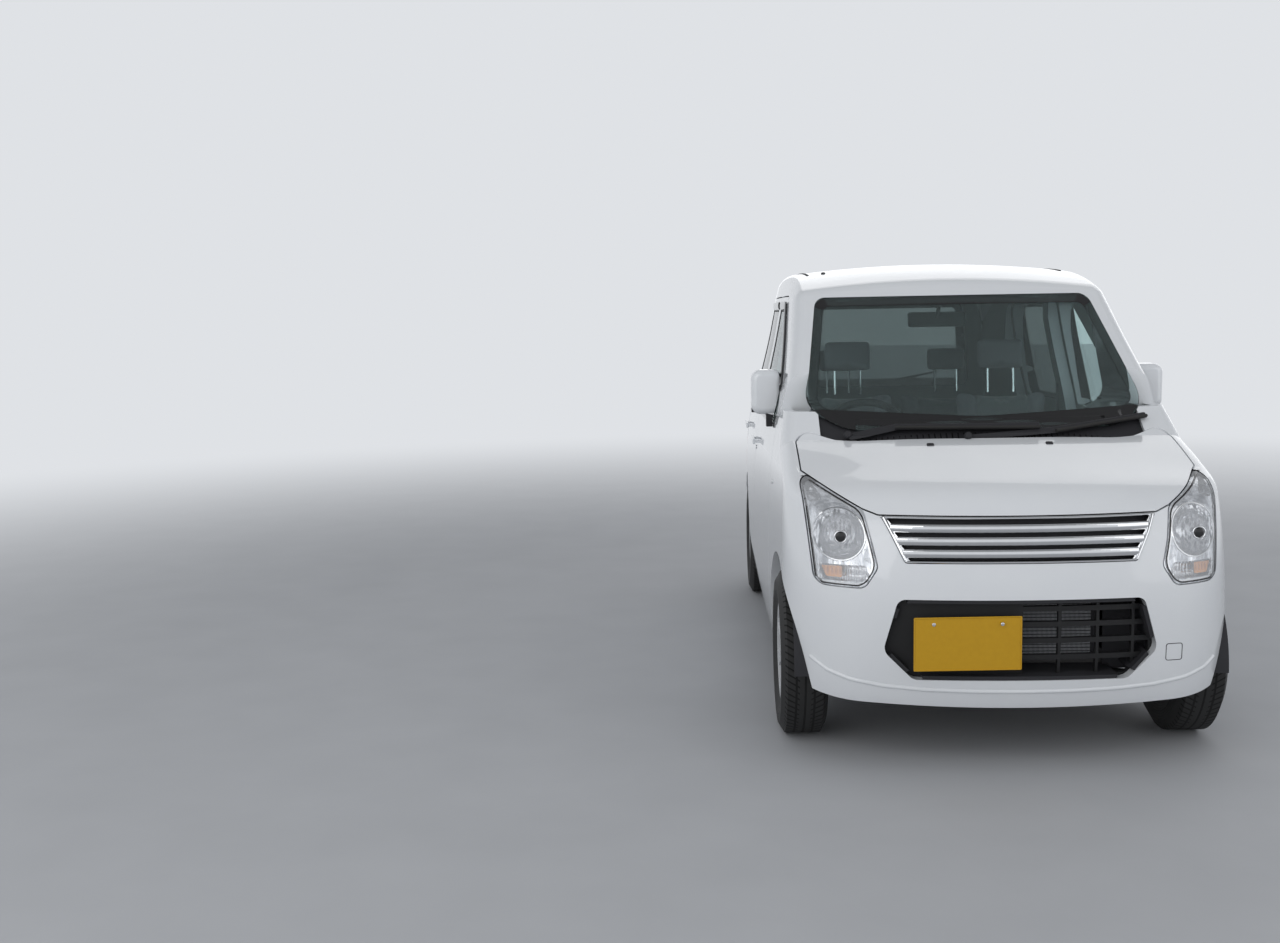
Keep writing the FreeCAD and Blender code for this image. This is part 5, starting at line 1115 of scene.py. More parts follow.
    def trim_grille(self) -> None:
        """Round the upper grille's bars and its frame, and paint the gap about it black as painted shade."""
        face = Skin(("upper_grille",))
        bars = Piece("grille_bars", CHROME)
        for height, half in self.bars:
            path = face.along(even((-half, height), (half, height), 24), Look.FRONT, 0.0)
            bars.add(rod(path, 0.0134, flat=(1.0, 0.42, 1.0), sides=16))
        for start, end, radius in (((-0.412, 0.8045), (0.412, 0.8045), 0.0040),
                                   ((-0.350, 0.6715), (0.350, 0.6715), 0.0034),
                                   ((-0.414, 0.803), (-0.352, 0.673), 0.0055),
                                   ((0.414, 0.803), (0.352, 0.673), 0.0055)):
            bars.add(rod(face.along(even(start, end, 24), Look.FRONT, 0.0), radius, sides=10))
        bars.done()
        skin = Skin(("front_bumper", "upper_grille", "hood"))
        # A black band laid along the grille's edge: painted shade in the gap.
        Piece("grille_gap_shade", BLACK_PLASTIC_AND_GAP_SHADE).add(
            skin.band(self.gap, 0.008, 0.0030, Look.FRONT, 0.0005, 0.0010)).done()

    def frame_intake(self) -> None:
        """Fit the plates beside the radiator and the rim of the lower grille."""
        shroud = Piece("radiator_shroud", BLACK_PLASTIC_AND_GAP_SHADE)
        for sign in (-1.0, 1.0):
            shroud.add(block(self.shroud_size, 0.0015, 1), mirrored(self.shroud_at, sign))
        shroud.done()
        Piece("lower_grille_rim", BLACK_PLASTIC_AND_GAP_SHADE).add(
            Skin(("front_bumper",)).band(self.lower_rim, 0.032, 0.010, Look.FRONT, -0.006, 0.012)).done()

    def hang_plate(self) -> None:
        """Hang a blank plate with rounded corners on a black holder."""
        wide, _, tall = PLATE_SIZE
        turn = turned(z=self.plate_turn)
        middle = Vector(self.plate_at)
        Piece("front_plate", PLATE_OCHRE).add(block(PLATE_SIZE, PLATE_ROUNDING, 1), middle, turn).done()
        rim = Piece("front_plate_rim", PLATE_OCHRE)
        left, low = -wide / 2, -tall / 2
        for edge in (((left, low), (-left, low)), ((left, -low), (-left, -low)),
                     ((left, low), (left, -low)), ((-left, low), (-left, -low))):
            rim.add(rod([turn @ Vector((x, -0.001, z)) + middle for x, z in edge], 0.0022, sides=8))
        rim.done()
        bolts = Piece("front_plate_bolts", CHROME)
        for x, z in PLATE_BOLTS:
            bolts.add(drum(0.0065, 0.006, 0.0015, sides=6), middle + Vector((x, -0.004, z)), turned(x=90.0))
        bolts.done()
        holder = Piece("front_plate_holder", BLACK_PLASTIC_AND_GAP_SHADE)
        holder.add(block((wide - 0.02, 0.010, tall - 0.03), 0.003), middle + Vector((0.0, 0.008, 0.0)), turn)
        for x in (-0.10, 0.10):
            holder.add(block((0.030, 0.055, 0.024), 0.004), middle + Vector((x, 0.040, 0.02)))
        holder.done()

    def trim_bumper(self) -> None:
        """Draw the seam of the towing eye's cover in painted shade and lay the crease along the bumper's
        chin.
        """
        skin = Skin(("front_bumper",))
        # A black band on the cover's seam: painted shade in its gap.
        Piece("bumper_seam_shade", BLACK_PLASTIC_AND_GAP_SHADE).add(
            skin.band(self.eye_cover, 0.008, 0.0022, Look.FRONT, 0.0006, 0.0012)).done()
        crease = [(-x, z) for x, z in self.chin] + [self.chin_middle] + list(self.chin[::-1])
        path = skin.along(through(crease, 4), Look.FRONT, -0.002)
        Piece("bumper_chin", WHITE_PAINT).add(rod(path, 0.0075, flat=(1.0, 0.7, 1.0), sides=12)).done()


@dataclass
class Glazing:
    """Black borders, seals and mirrors of the windows."""

    screen: tuple[Flat, ...] = ((-0.600, 1.100), (-0.470, 1.032), (0.470, 1.032), (0.600, 1.100),
                                (0.523, 1.500), (-0.523, 1.500))
    screen_foot: tuple[Flat, ...] = ((-0.590, 1.092), (-0.470, 1.036), (0.470, 1.036), (0.590, 1.092),
                                     (0.560, 1.100), (0.0, 1.074), (-0.560, 1.100))
    rear: tuple[Flat, ...] = ((-0.470, 1.040), (-0.430, 1.490), (0.430, 1.490), (0.470, 1.040))
    front_door: tuple[Flat, ...] = ((-0.7005, 1.030), (-0.7005, 1.090), (-0.2035, 1.462), (0.0825, 1.462),
                                    (0.0825, 1.030))
    rear_door: tuple[Flat, ...] = ((0.1925, 1.030), (0.1925, 1.462), (0.8605, 1.462), (0.9105, 1.150),
                                   (0.9105, 1.030))
    front_visor: tuple[Flat, ...] = ((-0.6405, 1.160), (-0.185, 1.474), (0.094, 1.474))
    rear_visor: tuple[Flat, ...] = ((0.181, 1.474), (0.450, 1.474), (0.790, 1.474))
    border_rounding: float = 0.050
    belt_up: float = 1.0225
    mirror_wide: float = 0.100
    mirror_tall: float = 0.140
    mirror_edge: float = 0.006

    def build(self) -> None:
        """Edge every window and hang the mirrors."""
        self.edge_screens()
        self.edge_doors()
        self.face_mirrors()

    def edge_screens(self) -> None:
        """Print the black borders of the windscreen and the rear window."""
        skin = Skin(("windscreen",))
        border = Piece("screen_border", FRIT_AND_GAP_SHADE)
        border.add(skin.band(self.screen, self.border_rounding, 0.034, Look.FRONT, 0.0012, 0.0008))
        border.add(skin.patch(self.screen_foot, 0.01, Look.FRONT, 0.0014, 0.0008))
        border.done()
        Piece("rear_screen_border", FRIT_AND_GAP_SHADE, "tailgate").add(Skin(("tailgate_glass",)).band(
            self.rear, self.border_rounding, 0.036, Look.BACK, 0.0012, 0.0008)).done()

    def edge_doors(self) -> None:
        """Fit seals round the door windows, mouldings below them and visors above them."""
        for side, sign in SIDES:
            look = side_look(sign)
            for end, line, visor in (("front", self.front_door, self.front_visor),
                                     ("rear", self.rear_door, self.rear_visor)):
                body = "%s_door_%s" % (end, side)
                glass, door = Skin(("%s_glass_%s" % (end, side),)), Skin((body,))
                Piece("window_seal_%s_%s" % (end, side), RUBBER, body).add(
                    glass.band(line, 0.030, 0.013, look, 0.0022, 0.0018)).done()
                front, back = min(p[0] for p in line), max(p[0] for p in line)
                path = door.along(even((front, self.belt_up), (back, self.belt_up), 14), look, 0.0015)
                Piece("belt_moulding_%s_%s" % (end, side), BLACK_GLOSS, body).add(
                    rod(path, 0.0085, flat=(0.45, 1.0, 1.0))).done()
                path = door.along(through(visor, 10), look, 0.004)
                Piece("window_visor_%s_%s" % (end, side), BLACK_GLOSS, body).add(
                    rod(path, 0.017, flat=(0.30, 1.0, 1.0))).done()

    def face_mirrors(self) -> None:
        """Set a glass and its black frame into the back of each door mirror."""
        for side, sign in SIDES:
            low, high = (Vector(p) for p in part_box("mirror_" + side))
            middle = Vector(((low.x + high.x) / 2, high.y, (low.z + high.z) / 2 + 0.012))
            middle.x += 0.006 * sign
            body = "front_door_" + side
            Piece("mirror_frame_" + side, BLACK_PLASTIC_AND_GAP_SHADE, body).add(
                block((self.mirror_wide, 0.006, self.mirror_tall), 0.0028), middle).done()
            wide, tall = self.mirror_wide - 2 * self.mirror_edge, self.mirror_tall - 2 * self.mirror_edge
            Piece("mirror_glass_" + side, MIRROR_GLASS, body).add(
                block((wide, 0.003, tall), 0.0012), middle + Vector((0.0, 0.003, 0.0))).done()


@dataclass
class Cowl:
    """The wiper blades, their pivots and the small parts of the scuttle and bonnet."""

    arms: tuple[tuple[Flat, Flat, Flat], ...] = (
        ((-0.469, 1.020), (-0.305, 1.040), (0.187, 1.036)),
        ((-0.063, 1.014), (0.239, 1.024), (0.578, 1.062)))
    vent_count: int = 46
    vent_start: float = -0.45
    vent_pitch: float = 0.02
    vent_front: float = -1.135
    vent_back: float = -1.105
    vent_sweep: float = 0.02
    jet_x: float = 0.20
    jet_y: float = NOSE + 0.500
    repeater: Flat = (-0.915, 0.838)
    repeater_oval: float = 0.62

    def build(self) -> None:
        """Make the blades, pivots, vents, washer jets and side repeaters."""
        self.lay_wipers()
        self.cut_vents()
        self.fit_jets()
        self.fit_repeaters()

    def lay_wipers(self) -> None:
        """Lay the blades on the windscreen and cap the arms' pivots."""
        skin = Skin(("windscreen", "wipers", "cowl"))
        blades = Piece("wiper_blades", RUBBER)
        pivots = Piece("wiper_pivots", BLACK_PLASTIC_AND_GAP_SHADE)
        for foot, start, end in self.arms:
            path = skin.along(even(start, end, 12), Look.FRONT, 0.004)
            blades.add(rod(path, 0.0045, sides=8))
            blades.add(rod([p + Vector((0.0, -0.006, 0.004)) for p in path], 0.0055, sides=8))
            at = skin.meet(foot, Look.FRONT, 0.006)
            pivots.add(drum(0.016, 0.024, 0.004, far=0.011), at, turned(x=62.0))
        blades.done()
        pivots.done()

    def cut_vents(self) -> None:
        """Lay the short bars of the air vents across the scuttle."""
        vents = Piece("cowl_vents", BLACK_GLOSS)
        skin = Skin(("cowl",))
        for i in range(self.vent_count):
            x = self.vent_start + i * self.vent_pitch
            sweep = self.vent_sweep * abs(x)
            path = skin.along([(x, self.vent_front + sweep), (x, self.vent_back + sweep)], Look.TOP, 0.0006)
            vents.add(rod(path, 0.0022, sides=6))
        vents.done()

    def fit_jets(self) -> None:
        """Fit two washer jets on the bonnet."""
        jets = Piece("washer_jets", BLACK_PLASTIC_AND_GAP_SHADE, "hood")
        skin = Skin(("hood",))
        for x in (-self.jet_x, self.jet_x):
            at = skin.meet((x, self.jet_y), Look.TOP, 0.001)
            jets.add(block((0.024, 0.016, 0.008), 0.003), at, turned(x=22.0))
            jets.add(drum(0.003, 0.006, 0.001, sides=12), at + Vector((0.0, 0.008, 0.003)), turned(x=90.0))
        jets.done()

    def fit_repeaters(self) -> None:
        """Fit an oval repeater lamp on each front fender."""
        skin = Skin(("front_fenders",))
        for side, sign in SIDES:
            at = skin.meet(self.repeater, side_look(sign), 0.0)
            turn = turned(y=90.0 * sign) @ Matrix.Diagonal((self.repeater_oval, 1.0, 1.0, 1.0))
            Piece("side_repeater_" + side, CLEAR_LENS_REAR).add(
                drum(0.017, 0.010, 0.004, far=0.013), at, turn).done()


@dataclass
class Wheels:
    """Caps, ribs, bolts and valves of the wheel covers."""

    cover_out: float = 0.056
    ring_radius: float = 0.171
    rib_count: int = 8
    rib: tuple[Flat, ...] = ((0.046, 0.000), (0.090, 0.002), (0.130, 0.004), (0.160, 0.006))
    bolt_count: int = 4
    bolt_circle: float = 0.050
    valve_up: float = 0.150

    def build(self) -> None:
        """Fit all four wheels."""
        for end in ("front", "rear"):
            for side, sign in SIDES:
                self.fit(end, side, sign)

    def fit(self, end: str, side: str, sign: float) -> None:
        """Fit one wheel with its cap, ribs, bolts and valve.

        Args:
            end: Front or rear.
            side: Left or right.
            sign: 1 for the left side and -1 for the right.
        """
        body = "wheel_%s_%s" % (end, side)
        centre = Vector((0.0, FRONT_AXLE if end == "front" else REAR_AXLE, AXLE_UP))
        face = (HALF_TRACK[end] + self.cover_out) * sign
        turn = turned(y=90.0 * sign)

        def spot(out: float, radius: float = 0.0, angle: float = 0.0) -> Vector:
            """Find a place on the wheel from how far out and how far round it is."""
            return centre + Vector((face + out * sign, radius * math.cos(angle), radius * math.sin(angle)))

        cap = Piece("wheel_cap_%s_%s" % (end, side), COVER_SILVER, body)
        cap.add(drum(0.031, 0.010, 0.003, far=0.027), spot(0.004), turn)
        cap.add(ring(0.0395, 0.003), spot(0.001), turn)
        cap.add(ring(self.ring_radius, 0.0040), spot(0.005), turn)
        cap.done()
        ribs = Piece("cover_ribs_%s_%s" % (end, side), COVER_SILVER, body)
        for i in range(self.rib_count):
            angle = math.tau * (i + 0.5) / self.rib_count
            path = [spot(out, radius, angle) for radius, out in self.rib]
            ribs.add(rod(path, 0.0048, flat=(0.5, 1.0, 1.0), end=1.7))
        ribs.done()
        bolts = Piece("wheel_bolts_%s_%s" % (end, side), CHROME, body)
        for i in range(self.bolt_count):
            angle = math.tau * (i + 0.25) / self.bolt_count
            bolts.add(drum(0.009, 0.008, 0.002, sides=6), spot(-0.001, self.bolt_circle, angle), turn)
        bolts.done()
        up = math.pi / 2
        path = [spot(-0.012, self.valve_up, up), spot(0.004, self.valve_up - 0.001, up)]
        Piece("wheel_valve_%s_%s" % (end, side), RUBBER, body).add(rod(path, 0.0035, sides=8)).done()


@dataclass
class RearEnd:
    """Lamp panels, plate, wiper and trim at the back."""

    lamp_in: float = 0.580
    lamp_out: float = 0.652
    clear_up: Flat = (0.735, 0.790)
    amber_up: Flat = (0.672, 0.727)
    plate_low: float = 0.670
    plate_high: float = 0.860
    wiper_foot: Flat = (0.0, 1.012)
    wiper_arm: tuple[Flat, Flat] = ((0.02, 1.020), (0.24, 1.095))
    wiper_blade: tuple[Flat, Flat] = ((0.02, 1.055), (0.32, 1.110))
    reflector: tuple[Flat, ...] = ((0.44, 0.385), (0.44, 0.415), (0.56, 0.415), (0.56, 0.385))

    def build(self) -> None:
        """Make everything that the tailgate and rear bumper carry."""
        self.face_lamps()
        self.lay_bar("tailgate_garnish", CHROME, (0.34, 0.925), 16, 0.004, 0.019, 0.42)
        self.lay_bar("tailgate_grip", BLACK_PLASTIC_AND_GAP_SHADE, (0.10, 0.895), 6, 0.002, 0.012, 0.5)
        self.hang_plate()
        self.lay_wiper()
        self.lay_bar("high_stop_lamp", RED_LENS, (0.11, 1.520), 8, 0.003, 0.011, 0.5)
        self.trim_bumper()

    def face_lamps(self) -> None:
        """Lay the clear and the amber panels on the tail lamps."""
        lamps = Skin(("tail_lamps",))
        for name, finish, (low, high) in (("rear_clear_lenses", CLEAR_LENS_REAR, self.clear_up),
                                          ("rear_amber_lenses", AMBER_LENS, self.amber_up)):
            panels = Piece(name, finish)
            for _, sign in SIDES:
                near, far = self.lamp_in * sign, self.lamp_out * sign
                corners = ((near, low), (near, high), (far, high), (far, low))
                panels.add(lamps.patch(corners, 0.008, Look.BACK, 0.0012, 0.0012))
            panels.done()

    def lay_bar(self, name: str, finish: Finish, reach: Flat, steps: int, lift: float, radius: float,
                flat: float) -> None:
        """Lay a level bar across the tailgate.

        Args:
            name: The bar's name.
            finish: The bar's finish.
            reach: How far it goes to each side, and how high it lies.
            steps: The steps along it.
            lift: How far above the surface its middle is.
            radius: Half its height.
            flat: How thick it is for its height.
        """
        half, up = reach
        path = Skin(("tailgate",)).along(even((-half, up), (half, up), steps), Look.BACK, lift)
        Piece(name, finish, "tailgate").add(rod(path, radius, flat=(1.0, flat, 1.0))).done()

    def hang_plate(self) -> None:
        """Hang a blank plate on its holder, leaning as the tailgate does."""
        gate = Skin(("tailgate",))
        low, high = (gate.meet((0.0, up), Look.BACK, 0.0) for up in (self.plate_low, self.plate_high))
        lean = turned(x=math.degrees(math.atan2(low.y - high.y, high.z - low.z)))
        middle = (low + high) / 2
        Piece("rear_plate", PLATE_OCHRE, "tailgate").add(
            block(PLATE_SIZE, PLATE_ROUNDING, 1), middle + lean @ Vector((0.0, 0.0165, 0.0)), lean).done()
        Piece("rear_plate_holder", BLACK_PLASTIC_AND_GAP_SHADE, "tailgate").add(
            block((0.350, 0.014, 0.184), 0.004), middle + lean @ Vector((0.0, 0.008, 0.0)), lean).done()
        bolts = Piece("rear_plate_bolts", CHROME, "tailgate")
        for x, z in PLATE_BOLTS:
            bolts.add(drum(0.0065, 0.005, 0.0015, sides=6), middle + lean @ Vector((x, 0.0185, z)),
                      lean @ turned(x=90.0))
        bolts.done()

    def lay_wiper(self) -> None:
        """Lay the rear wiper on the tailgate's glass."""
        glass = Skin(("tailgate_glass", "tailgate"))
        arm = Piece("rear_wiper", BLACK_PLASTIC_AND_GAP_SHADE, "tailgate")
        foot = Skin(("tailgate",)).meet(self.wiper_foot, Look.BACK, 0.008)
        arm.add(drum(0.020, 0.020, 0.005, far=0.015), foot, turned(x=-90.0))
        reach = glass.along(even(*self.wiper_arm, 6), Look.BACK, 0.010)
        arm.add(rod([foot] + reach, 0.0065, end=0.7))
        arm.add(rod(glass.along(even(*self.wiper_blade, 10), Look.BACK, 0.005), 0.005))
        arm.done()

    def trim_bumper(self) -> None:
        """Fit the reflectors of the rear bumper."""
        skin = Skin(("rear_bumper",))
        red = Piece("rear_reflectors", RED_LENS)
        for _, sign in SIDES:
            red.add(skin.patch([(a * sign, b) for a, b in self.reflector], 0.010, Look.BACK, 0.003, 0.003))
        red.done()


@dataclass
class Body:
    """Small parts on the body's sides and roof."""

    moulding_x: float = 0.520
    moulding_ends: Flat = (-0.08, 1.41)
    lock: Flat = (0.070, 0.868)
    aerial: Flat = (-0.455, -0.085)
    panel_margin: float = 0.014
    panel_rounding: float = 0.018
    panel_lift: float = 0.0006

    def build(self) -> None:
        """Close the right side, then fit the roof's mouldings, the locks and the aerial."""
        self.close_right_side()
        roof = Skin(("roof", "body_side_left", "body_side_right"))
        front, back = self.moulding_ends
        for side, sign in SIDES:
            x = self.moulding_x * sign
            path = roof.along(even((x, front), (x, back), 40), Look.TOP, 0.0006)
            Piece("roof_moulding_" + side, BLACK_PLASTIC_AND_GAP_SHADE).add(rod(path, 0.0062, flat=(1.0, 1.0, 0.4))).done()
            body = "front_door_" + side
            at = Skin((body,)).meet(self.lock, side_look(sign), 0.0)
            Piece("door_lock_" + side, CHROME, body).add(
                drum(0.009, 0.006, 0.0015), at, turned(y=90.0 * sign)).done()
        foot = roof.meet(self.aerial, Look.TOP, 0.0)
        mast = [foot, foot + Vector((0.0, 0.070, 0.004)), foot + Vector((0.0, 0.30, 0.006))]
        aerial = Piece("roof_aerial", BLACK_PLASTIC_AND_GAP_SHADE)
        aerial.add(drum(0.011, 0.012, 0.004, far=0.008), foot)
        aerial.add(rod(mast, 0.0028, end=0.6))
        aerial.done()

    def close_right_side(self) -> None:
        """Lay a panel of the body side's own shape where the right side has no filler."""
        low, high = (Vector(p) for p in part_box("fuel_lid"))
        y0, y1 = low.y - self.panel_margin, high.y + self.panel_margin
        z0, z1 = low.z - self.panel_margin, high.z + self.panel_margin
        skin = Skin(("body_side_left",))

        def out(y: float, z: float) -> float:
            """Find how far out the left side is."""
            return skin.meet((y, z), Look.LEFT, 0.0).x

        shape = outline([(y0, z0), (y1, z0), (y1, z1), (y0, z1)], self.panel_rounding, Look.LEFT)
        bmesh.ops.triangulate(shape, faces=shape.faces[:])
        for _ in range(3):
            bmesh.ops.subdivide_edges(shape, edges=shape.edges[:], cuts=1, use_grid_fill=True)
        for vertex in shape.verts:
            y, z = vertex.co.y, vertex.co.z
            u, v = (y - y0) / (y1 - y0), (z - z0) / (z1 - z0)
            edges = (1 - u) * out(y0, z) + u * out(y1, z) + (1 - v) * out(y, z0) + v * out(y, z1)
            corners = ((1 - u) * (1 - v) * out(y0, z0) + u * (1 - v) * out(y1, z0)
                       + (1 - u) * v * out(y0, z1) + u * v * out(y1, z1))
            vertex.co.x = -(edges - corners) - self.panel_lift
        bmesh.ops.recalc_face_normals(shape, faces=shape.faces)
        bmesh.ops.solidify(shape, geom=shape.faces[:], thickness=0.002)
        Piece("right_quarter_panel", WHITE_PAINT).add(shape).done()


@dataclass
class Cabin:
    """What shows through the windows in front of the seats."""

    driver_x: float = -0.330
    helm_y: float = NOSE + 1.300
    helm_z: float = 0.925
    helm_lean: float = 27.0
    hood_at: Flat = (-0.560, 0.985)
    hood_size: Flat = (0.155, 0.052)
    dials_at: Flat = (-0.548, 0.995)
    dial_lean: float = 72.0
    stack_lean: float = -8.0
    knob_x: tuple[float, ...] = (-0.070, 0.0, 0.070)
    vent_x: tuple[float, ...] = (-0.56, -0.16, 0.16, 0.56)
    vent_z: float = 0.900
    lever_x: float = -0.085
    mirror_at: Point = (0.0, -0.165, 1.405)
    mirror_lean: float = -12.0
    visor_x: float = 0.29
    visor_y: float = -0.02
    visor_size: Point = (0.360, 0.150, 0.014)
    belt: tuple[Point, ...] = ((0.592, 0.165, 0.420), (0.594, 0.168, 0.800), (0.578, 0.172, 1.210))
    belt_guide: Point = (0.585, 0.172, 1.220)

    def build(self) -> None:
        """Make the dashboard's details, the steering wheel's trim, the mirror, the visors and the belts."""
        self.detail_dials()
        self.detail_dashboard()
        self.detail_helm()
        self.hang_mirror()
        self.fold_visors()
        self.hang_belts()

    def detail_dials(self) -> None:
        """Make the instruments and the hood over them."""
        y, z = self.hood_at
        wide, tall = self.hood_size
        arch = [(self.driver_x + wide * math.cos(a), y, z + tall * math.sin(a))
                for a in (math.pi * i / 14 for i in range(15))]
        Piece("instrument_hood", DARK_TRIM).add(rod(arch, 0.011, flat=(1.0, 5.0, 1.0), sides=12)).done()
        y, z = self.dials_at
        face = Finish("dial_face", "interior", (0.02, 0.02, 0.022), (0.75, 0.76, 0.78), (0.3, 0.4),
                      scale=0.055, relief=0.00001, pattern=Pattern.DIAL, centre=(self.driver_x, y + 0.003, z))
        Piece("instrument_dials", face).add(
            drum(0.058, 0.010, 0.002), (self.driver_x, y, z), turned(x=self.dial_lean)).done()

    def detail_dashboard(self) -> None:
        """Make the centre stack, its knobs and radio, the vents and the lever."""
        skin = Skin(("dashboard",))
        face = skin.meet((0.0, 0.86), Look.BACK, 0.004).y
        lean = turned(x=self.stack_lean)
        Piece("centre_stack", DARK_TRIM).add(
            block((0.230, 0.030, 0.190), 0.012), (0.0, face, 0.855), lean).done()
        knobs = Piece("stack_knobs", CHROME)
        for x in self.knob_x:
            knobs.add(drum(0.019, 0.022, 0.004, far=0.016), (x, face + 0.020, 0.800), turned(x=-90.0))
        knobs.done()
        Piece("radio_face", BLACK_GLOSS).add(
            block((0.180, 0.006, 0.070), 0.0028), (0.0, face + 0.016, 0.900), lean).done()
        vents = Piece("air_vents", BLACK_PLASTIC_AND_GAP_SHADE)
        for x in self.vent_x:
            y = skin.meet((x, self.vent_z), Look.BACK, 0.002).y
            vents.add(block((0.085, 0.016, 0.062), 0.007), (x, y, self.vent_z))
            for i in range(4):
                slat = (x, y + 0.009, self.vent_z - 0.020 + 0.0135 * i)
                vents.add(block((0.074, 0.010, 0.004), 0.0015, 1), slat, turned(x=25.0))
        vents.done()
        lever = Piece("gear_lever", DARK_TRIM)
        lever.add(rod([(self.lever_x, face - 0.01, 0.755), (self.lever_x, face + 0.075, 0.800)], 0.009))
        lever.add(block((0.042, 0.036, 0.060), 0.013), (self.lever_x, face + 0.085, 0.815), turned(x=28.0))
        lever.done()

    def detail_helm(self) -> None:
        """Trim the steering wheel's pad and put the two stalks on its column."""
        lean = turned(x=self.helm_lean - 90.0)
        centre = Vector((self.driver_x, self.helm_y, self.helm_z))
        pad = Piece("steering_pad", DARK_TRIM, "steering_wheel")
        pad.add(drum(0.074, 0.030, 0.010, far=0.064), centre + lean @ Vector((0.0, 0.0, 0.012)), lean)
        for x in (-0.115, 0.115):
            pad.add(block((0.105, 0.040, 0.019), 0.007), centre + lean @ Vector((x, 0.0, 0.0)), lean)
        pad.done()
        stalks = Piece("column_stalks", DARK_TRIM)
        for sign in (-1.0, 1.0):
            path = [centre + lean @ Vector((sign * x, 0.010, z))
                    for x, z in ((0.015, -0.045), (0.10, -0.043), (0.155, -0.039))]
            stalks.add(rod(path, 0.0065, end=1.3))
        stalks.done()

    def hang_mirror(self) -> None:
        """Hang the inside mirror."""
        middle, lean = Vector(self.mirror_at), turned(x=self.mirror_lean)
        stalk = [middle + Vector((0.0, -0.010, 0.010)), middle + Vector((0.0, -0.050, 0.045))]
        shell = Piece("inside_mirror", DARK_TRIM)
        shell.add(block((0.235, 0.022, 0.062), 0.010), middle, lean)
        shell.add(rod(stalk, 0.008))
        shell.done()
        Piece("inside_mirror_glass", MIRROR_GLASS).add(
            block((0.222, 0.003, 0.051), 0.0012), middle + Vector((0.0, 0.012, 0.0)), lean).done()

    def fold_visors(self) -> None:
        """Fold both sun visors up under the roof."""
        roof = Skin(("roof",))
        visors = Piece("sun_visors", HEADLINER)
        for x in (-self.visor_x, self.visor_x):
            under = roof.tree.ray_cast(Vector((x, self.visor_y, 1.0)), Vector((0.0, 0.0, 1.0)))[0]
            visors.add(block(self.visor_size, 0.006), (x, self.visor_y, under.z - self.visor_size[2]),
                       turned(x=4.0))
        visors.done()

    def hang_belts(self) -> None:
        """Hang the front belts beside the seats, each with its guide."""
        for side, sign in SIDES:
            path = [mirrored(p, sign) for p in self.belt]
            Piece("seat_belt_" + side, WEBBING).add(rod(path, 0.022, flat=(0.05, 1.0, 1.0), sides=8)).done()
            Piece("belt_guide_" + side, DARK_TRIM).add(
                block((0.014, 0.066, 0.046), 0.006), mirrored(self.belt_guide, sign)).done()


